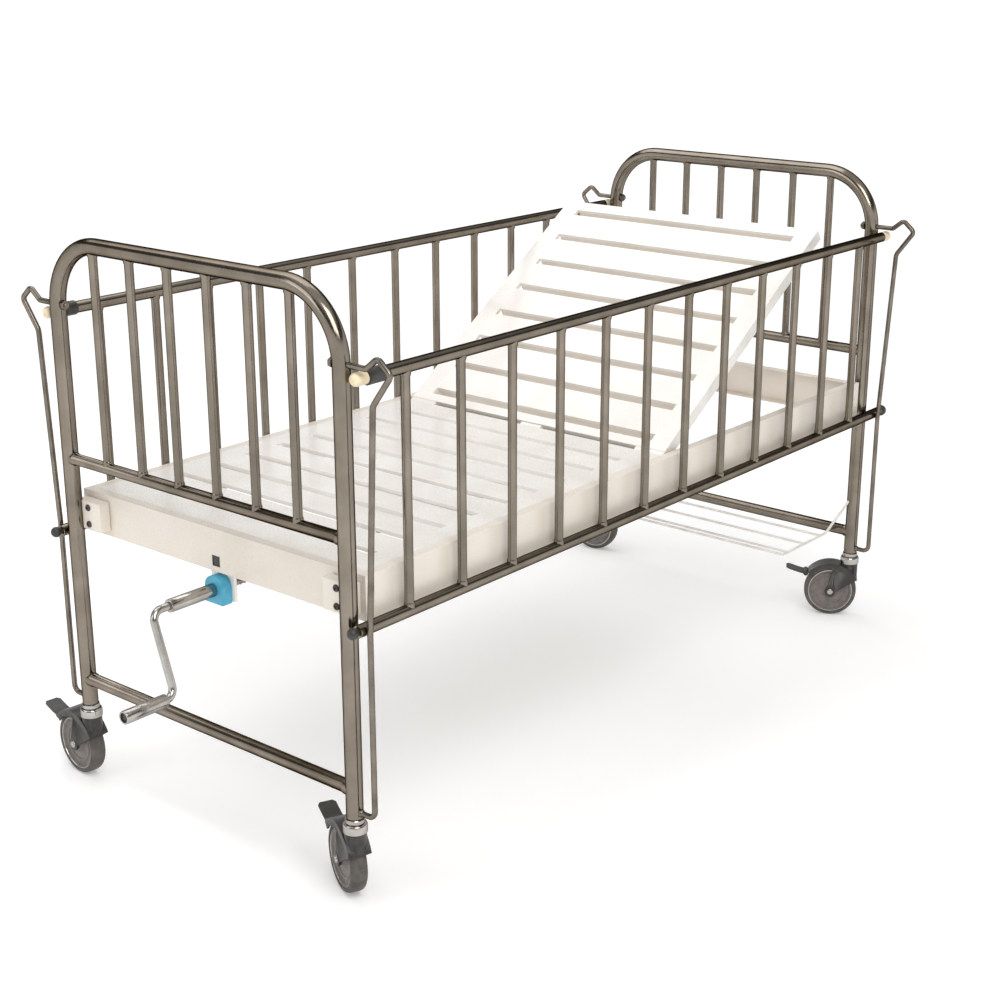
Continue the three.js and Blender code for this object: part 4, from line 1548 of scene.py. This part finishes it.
@dataclass
class Casters:
    """Four braked swivel casters, modelled once about the wheel's centre and copied to the legs."""

    bench: Bench
    end_x: float = 845.0
    leg_y: float = 355.0
    wheel_z: float = 61.55
    trail: float = 42.0
    half: float = 15.0
    rim: float = 52.4
    tyre: float = 61.5
    shoulder: Profile = ((0.0, -5.5), (0.8, -3.0), (2.6, -1.3), (6.0, -0.4), (10.0, 0.0))
    lip: Profile = ((2.4, -2.6), (1.4, -2.2), (1.0, -1.4), (1.2, -0.4), (2.4, -0.1))
    disc_face: Profile = (
        (0.0, 5.6),
        (0.0, 14.5),
        (0.6, 15.6),
        (2.0, 16.6),
        (5.5, 20.5),
        (6.0, 22.0),
        (6.0, 33.0),
        (4.6, 34.0),
        (4.2, 35.0),
        (4.2, 37.0),
        (4.6, 38.0),
        (6.0, 39.0),
        (6.0, 44.0),
        (4.0, 46.5),
        (2.2, 47.5),
        (2.2, 51.8),
    )
    room: float = 66.5
    room_half: float = 17.0
    hood: float = 70.5
    hood_half: float = 21.0
    hood_front: float = 152.0
    hood_rear: float = 40.0
    boss: float = 13.0
    boss_proud: float = 0.8
    seat: float = 19.5
    seat_top: float = 86.1
    edge: float = 1.4
    edge_segments: int = 3
    window: float = 57.0
    window_proud: float = 5.0
    arm_angle: float = 104.0
    arm_half: float = 9.0
    axle: float = 7.5
    axle_reach: float = 25.0
    axle_dome: Profile = ((0.0, -4.0), (0.6, -2.0), (1.8, -0.6), (3.2, 0.0))
    axle_gap: float = 0.4
    axle_core: float = 5.0
    swivel: float = 21.0
    swivel_low: float = 33.0
    swivel_high: float = 87.1
    swivel_cup: Profile = ((-17.0, -1.0), (-16.0, 0.4), (-4.0, 0.4), (-1.2, -0.6), (0.0, -2.2))
    collar: float = 17.0
    collar_foot: Profile = ((0.0, -1.4), (1.5, -1.4), (2.2, 0.0))
    collar_top: float = 96.1
    collar_edge: Profile = ((-1.0, 0.0), (0.0, -1.0))
    pivot: tuple[float, float] = (59.5, 41.4)
    pedal_boss: float = 6.0
    pedal_reach: float = 16.7
    pedal_chamfer: float = 0.8
    pedal_half: float = 17.0
    pedal_sheet: float = 4.0
    pedal_steps: tuple[tuple[float, float], ...] = (
        (14.0, 3.0),
        (14.0, 4.0),
        (12.0, 4.0),
        (7.0, 1.5),
    )
    pedal_taper: Point = (1.0, 0.72, 0.7)
    pedal_edge: float = 1.2
    pedal_segments: int = 2

    def build(self) -> None:
        """Builds one caster and copies it to the four legs."""
        models = (
            ("hood", self._hood(), "caster", DARK_PLASTIC, "caster_fork"),
            ("swivel", self._swivel(), "caster", CHROME, None),
            ("axle", self._axle(), "caster", CHROME, None),
            ("disc", self._disc(), "wheel", GREY_PLASTIC, "caster_wheel"),
            ("lip", self._lip(), "wheel", CHROME, None),
            ("tread", self._tread(), "wheel", TYRE, "caster_tyre"),
            ("pedal", self._pedal(), "brake", DARK_PLASTIC, "brake_pedal"),
        )
        for corner in Corner:
            move = self._place(corner)
            for name, model, body, finish, node in models:
                piece = self.bench.copied(model, f"caster_{name}_{corner.label}", move)
                nodes = [f"{node}_{corner.label}"] if node else []
                self.bench.settle(piece, f"{body}_{corner.label}", finish, *nodes)
        for _, model, *_ in models:
            bpy.data.objects.remove(model)

    def _place(self, corner: Corner) -> Matrix:
        """Gives the move from the modelling place to a leg.

        Args:
            corner: The leg.

        Returns:
            The move.
        """
        end, side, turn = corner.value
        leg = self.bench.at(end.value * self.end_x, side.value * self.leg_y, self.wheel_z)
        about = Matrix.Rotation(math.radians(turn), 4, "Z")
        return Matrix.Translation(leg) @ about @ Matrix.Translation((self.trail * MM, 0.0, 0.0))

    @property
    def _under_leg(self) -> Vector:
        """The point of the swivel's axis at the height of the axle."""
        return Vector((-self.trail * MM, 0.0, 0.0))

    def _drum(self, name: str, radius: float, half: float, sides: int = DRUM_SIDES) -> Piece:
        """Makes a plain drum on the axle, to cut with.

        Args:
            name: The drum's name.
            radius: Its radius.
            half: Half its width.
            sides: Its sides.

        Returns:
            The drum.
        """
        return self.bench.turned(name, Vector(), Y_AXIS, ((-half, radius), (half, radius)), sides)

    def _hood(self) -> Piece:
        """Builds the hood over the wheel, with its cheeks, its bosses and the swivel's seat.

        Returns:
            The hood.
        """
        bench = self.bench
        hood = self._drum("hood_model", self.hood, self.hood_half)
        bench.pick(hood)
        bench.edit_all()
        for angle, foot in ((self.hood_rear, self.boss), (self.hood_front, -self.boss)):
            turn = math.radians(angle)
            tip = Vector((self.hood * math.cos(turn), 0.0, self.hood * math.sin(turn)))
            edge = tip - Vector((foot, 0.0, 0.0))
            normal = Vector((edge.z, 0.0, -edge.x)).normalized() * math.copysign(1.0, foot)
            bench.trim(tip * MM, normal)
        bench.trim(Vector(), -Z_AXIS)
        bench.closed(hood, CREASE)
        bench.cut(hood, self._window(), Change.TAKE)
        boss_half = self.hood_half + self.boss_proud
        bench.cut(hood, self._drum("boss", self.boss, boss_half, RAIL_SIDES), Change.ADD)
        column = ((self.swivel_low, self.seat), (self.seat_top, self.seat))
        bench.cut(hood, bench.turned("seat", self._under_leg, Z_AXIS, column), Change.ADD)
        bench.cut(hood, self._drum("room", self.room, self.room_half), Change.TAKE)
        bench.rounded(hood, self.edge, self.edge_segments)
        return hood

    def _window(self) -> Piece:
        """Builds the tool that opens the cheeks beside the arm that holds the axle.

        Returns:
            The tool.
        """
        tool = self._drum("window", self.window, self.hood_half + self.window_proud)
        self.bench.pick(tool)
        turn = math.radians(self.arm_angle - 90.0)
        out = Vector((math.cos(turn), 0.0, math.sin(turn)))
        self.bench.edit_all()
        self.bench.trim(out * self.arm_half * MM, -out)
        return self.bench.closed(tool, CREASE)

    def _swivel(self) -> Piece:
        """Builds the bright swivel housing and the collar under the leg.

        Returns:
            The swivel.
        """
        profile = [
            *shifted(self.swivel_cup, self.swivel_high, self.swivel),
            *shifted(self.collar_foot, self.swivel_high, self.collar),
            *shifted(self.collar_edge, self.collar_top, self.collar),
        ]
        return self.bench.turned("swivel_model", self._under_leg, Z_AXIS, profile, TUBE_SIDES)

    def _pedal(self) -> Piece:
        """Builds the brake pedal: a curved blade on a round boss.

        Returns:
            The pedal.
        """
        bench = self.bench
        pivot = Vector((self.pivot[0], 0.0, self.pivot[1])) * MM
        profile = chamfered(
            -self.pedal_reach, self.pedal_reach, self.pedal_boss, self.pedal_chamfer
        )
        boss = bench.turned("pedal_boss", pivot, Y_AXIS, profile, BAR_SIDES)
        bench.clear()
        bpy.ops.mesh.primitive_plane_add(
            size=1.0, location=pivot, rotation=(0.0, math.pi / 2, 0.0)
        )
        blade = bpy.context.active_object
        blade.scale = (self.pedal_sheet * MM, 2.0 * self.pedal_half * MM, 1.0)
        bench.opened("pedal_model")
        here = pivot.copy()
        for run, rise in self.pedal_steps:
            step = Vector((run, 0.0, rise)) * MM
            bench.extrude(step)
            here += step
        bpy.ops.transform.resize(value=self.pedal_taper, center_override=here)
        bench.closed(blade, CREASE)
        bench.rounded(blade, self.pedal_edge, self.pedal_segments)
        return bench.joined("pedal_model", [blade, boss])

    def _axle(self) -> Piece:
        """Builds the bright axle with a domed nut at both ends.

        Returns:
            The axle.
        """
        cheek = -self.hood_half - self.axle_gap
        end = [
            *shifted(self.axle_dome, -self.axle_reach, self.axle),
            (cheek, self.axle),
            (cheek, self.axle_core),
        ]
        return self.bench.turned("axle_model", Vector(), Y_AXIS, doubled(end))

    def _disc(self) -> Piece:
        """Builds the wheel's disc with its hub and a raised ring on both faces.

        Returns:
            The disc.
        """
        profile = doubled(shifted(self.disc_face, -self.half, 0.0))
        return self.bench.turned("disc_model", Vector(), Y_AXIS, profile, WHEEL_SIDES)

    def _lip(self) -> Piece:
        """Builds the thin bright rings between the disc and the tyre.

        Returns:
            The two rings as one piece.
        """
        section = shifted(self.lip, -self.half, self.rim)
        near = self.bench.ring("lip_model", Vector(), Y_AXIS, section, WHEEL_SIDES)
        flip = Matrix.Diagonal((1.0, -1.0, 1.0, 1.0))
        far = self.bench.copied(near, "lip_model_far", flip)
        return self.bench.joined("lip_model", [near, far])

    def _tread(self) -> Piece:
        """Builds the tyre with round shoulders.

        Returns:
            The tyre.
        """
        side = [(-self.half, self.rim), *shifted(self.shoulder, -self.half, self.tyre)]
        return self.bench.ring("tread_model", Vector(), Y_AXIS, doubled(side), TYRE_SIDES)


@dataclass(frozen=True)
class Lamp:
    """A soft square light, in metres and watts."""

    name: str
    place: Point
    target: Point
    size: float
    power: float

    def hang(self) -> None:
        """Adds the light and points it at its target."""
        data = bpy.data.lights.new(self.name, "AREA")
        data.shape = "SQUARE"
        data.size = self.size
        data.energy = self.power
        lamp = bpy.data.objects.new(self.name, data)
        lamp.location = self.place
        ahead = Vector(self.target) - Vector(self.place)
        lamp.rotation_euler = ahead.to_track_quat("-Z", "Y").to_euler()
        bpy.context.scene.collection.objects.link(lamp)


@dataclass
class Studio:
    """The pale floor, the soft lights and the camera."""

    bench: Bench
    camera_place: Point = (-2675.0, -2195.8, 1568.6)
    ahead: Point = (0.72995, 0.60771, -0.31282)
    up: Point = (0.24104, 0.19940, 0.94981)
    lens: float = 62.12
    sensor: float = 36.0
    floor: float = 600.0
    floor_drop: float = 0.0005
    paper: float = 0.86
    paper_rough: float = 0.9
    paper_shine: float = 0.1
    glow: tuple[float, float] = (0.62, 0.2)
    glow_reach: float = 7.0
    sky: tuple[tuple[float, Colour], ...] = (
        (0.0, (1.0, 1.0, 1.0)),
        (0.26, (1.0, 1.0, 1.0)),
        (0.36, (0.075, 0.068, 0.06)),
        (0.55, (0.1, 0.095, 0.09)),
        (0.78, (0.7, 0.7, 0.7)),
    )
    lamps: tuple[Lamp, ...] = (
        Lamp("key", (-1.6, -2.6, 3.4), (0.0, 0.0, 0.5), 2.2, 80.0),
        Lamp("fill", (-3.4, 1.2, 2.2), (0.0, 0.0, 0.6), 1.6, 16.0),
        Lamp("top", (0.2, 1.5, 3.7), (0.0, 0.0, 0.4), 3.4, 60.0),
    )

    def build(self) -> None:
        """Sets up the floor, the lights and the camera."""
        self._floor()
        self._world()
        for lamp in self.lamps:
            lamp.hang()
        self._camera()
        bpy.context.scene.view_settings.view_transform = "Standard"

    def _floor(self) -> None:
        """Adds the floor, which glows a little round the cot."""
        self.bench.clear()
        bpy.ops.mesh.primitive_plane_add(size=self.floor, location=(0.0, 0.0, -self.floor_drop))
        floor = bpy.context.active_object
        floor.name = "floor"
        made = bpy.data.materials.new("floor_paper")
        made.use_nodes = True
        tree = made.node_tree
        shader = tree.nodes["Principled BSDF"]
        shader.inputs["Base Color"].default_value = (self.paper, self.paper, self.paper, 1.0)
        shader.inputs["Roughness"].default_value = self.paper_rough
        shader.inputs["Specular IOR Level"].default_value = self.paper_shine
        shader.inputs["Emission Color"].default_value = (1.0, 1.0, 1.0, 1.0)
        place = tree.nodes.new("ShaderNodeTexCoord")
        spread = tree.nodes.new("ShaderNodeMapping")
        spread.inputs["Scale"].default_value = (1.0 / self.glow_reach,) * 3
        fade = tree.nodes.new("ShaderNodeTexGradient")
        fade.gradient_type = "SPHERICAL"
        glow = tree.nodes.new("ShaderNodeValToRGB")
        for stop, strength in zip(glow.color_ramp.elements, self.glow):
            stop.color = (strength, strength, strength, 1.0)
        tree.links.new(place.outputs["Object"], spread.inputs["Vector"])
        tree.links.new(spread.outputs["Vector"], fade.inputs["Vector"])
        tree.links.new(fade.outputs["Fac"], glow.inputs["Fac"])
        tree.links.new(glow.outputs["Color"], shader.inputs["Emission Strength"])
        floor.data.materials.append(made)

    def _world(self) -> None:
        """Makes a pale sky with a dark band over the horizon, so bright tubes keep dark edges."""
        world = bpy.data.worlds.new("studio_sky")
        bpy.context.scene.world = world
        world.use_nodes = True
        tree = world.node_tree
        sky = tree.nodes["Background"]
        sky.inputs["Strength"].default_value = 1.0
        place = tree.nodes.new("ShaderNodeTexCoord")
        split = tree.nodes.new("ShaderNodeSeparateXYZ")
        ramp = tree.nodes.new("ShaderNodeValToRGB")
        stops = ramp.color_ramp.elements
        while len(stops) < len(self.sky):
            stops.new(1.0)
        for stop, (height, colour) in zip(stops, self.sky):
            stop.position = height
            stop.color = (*colour, 1.0)
        tree.links.new(place.outputs["Generated"], split.inputs["Vector"])
        tree.links.new(split.outputs["Z"], ramp.inputs["Fac"])
        tree.links.new(ramp.outputs["Color"], sky.inputs["Color"])

    def _camera(self) -> None:
        """Adds the camera."""
        data = bpy.data.cameras.new("camera")
        data.lens = self.lens
        data.sensor_width = self.sensor
        camera = bpy.data.objects.new("camera", data)
        back = -Vector(self.ahead).normalized()
        up = Vector(self.up).normalized()
        right = up.cross(back).normalized()
        turn = Matrix((right, back.cross(right), back)).transposed().to_4x4()
        camera.matrix_world = Matrix.Translation(self.bench.at(*self.camera_place)) @ turn
        bpy.context.scene.collection.objects.link(camera)
        bpy.context.scene.camera = camera


def main() -> None:
    """Builds the cot's looks on its frame, in order."""
    logging.basicConfig(level=logging.INFO, format="%(name)s: %(message)s")
    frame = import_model()
    bench = Bench(frame["nodes"])
    grille = Grille()
    for end in End:
        EndFrame(bench, grille, end).build()
    GuideRods(bench).build()
    for side in Side:
        DropSide(bench, grille, side).build()
    Deck(bench).build()
    Backrest(bench).build()
    CrankDrive(bench).build()
    WireRack(bench).build()
    Casters(bench).build()
    Studio(bench).build()


if __name__ == "__main__":
    main()
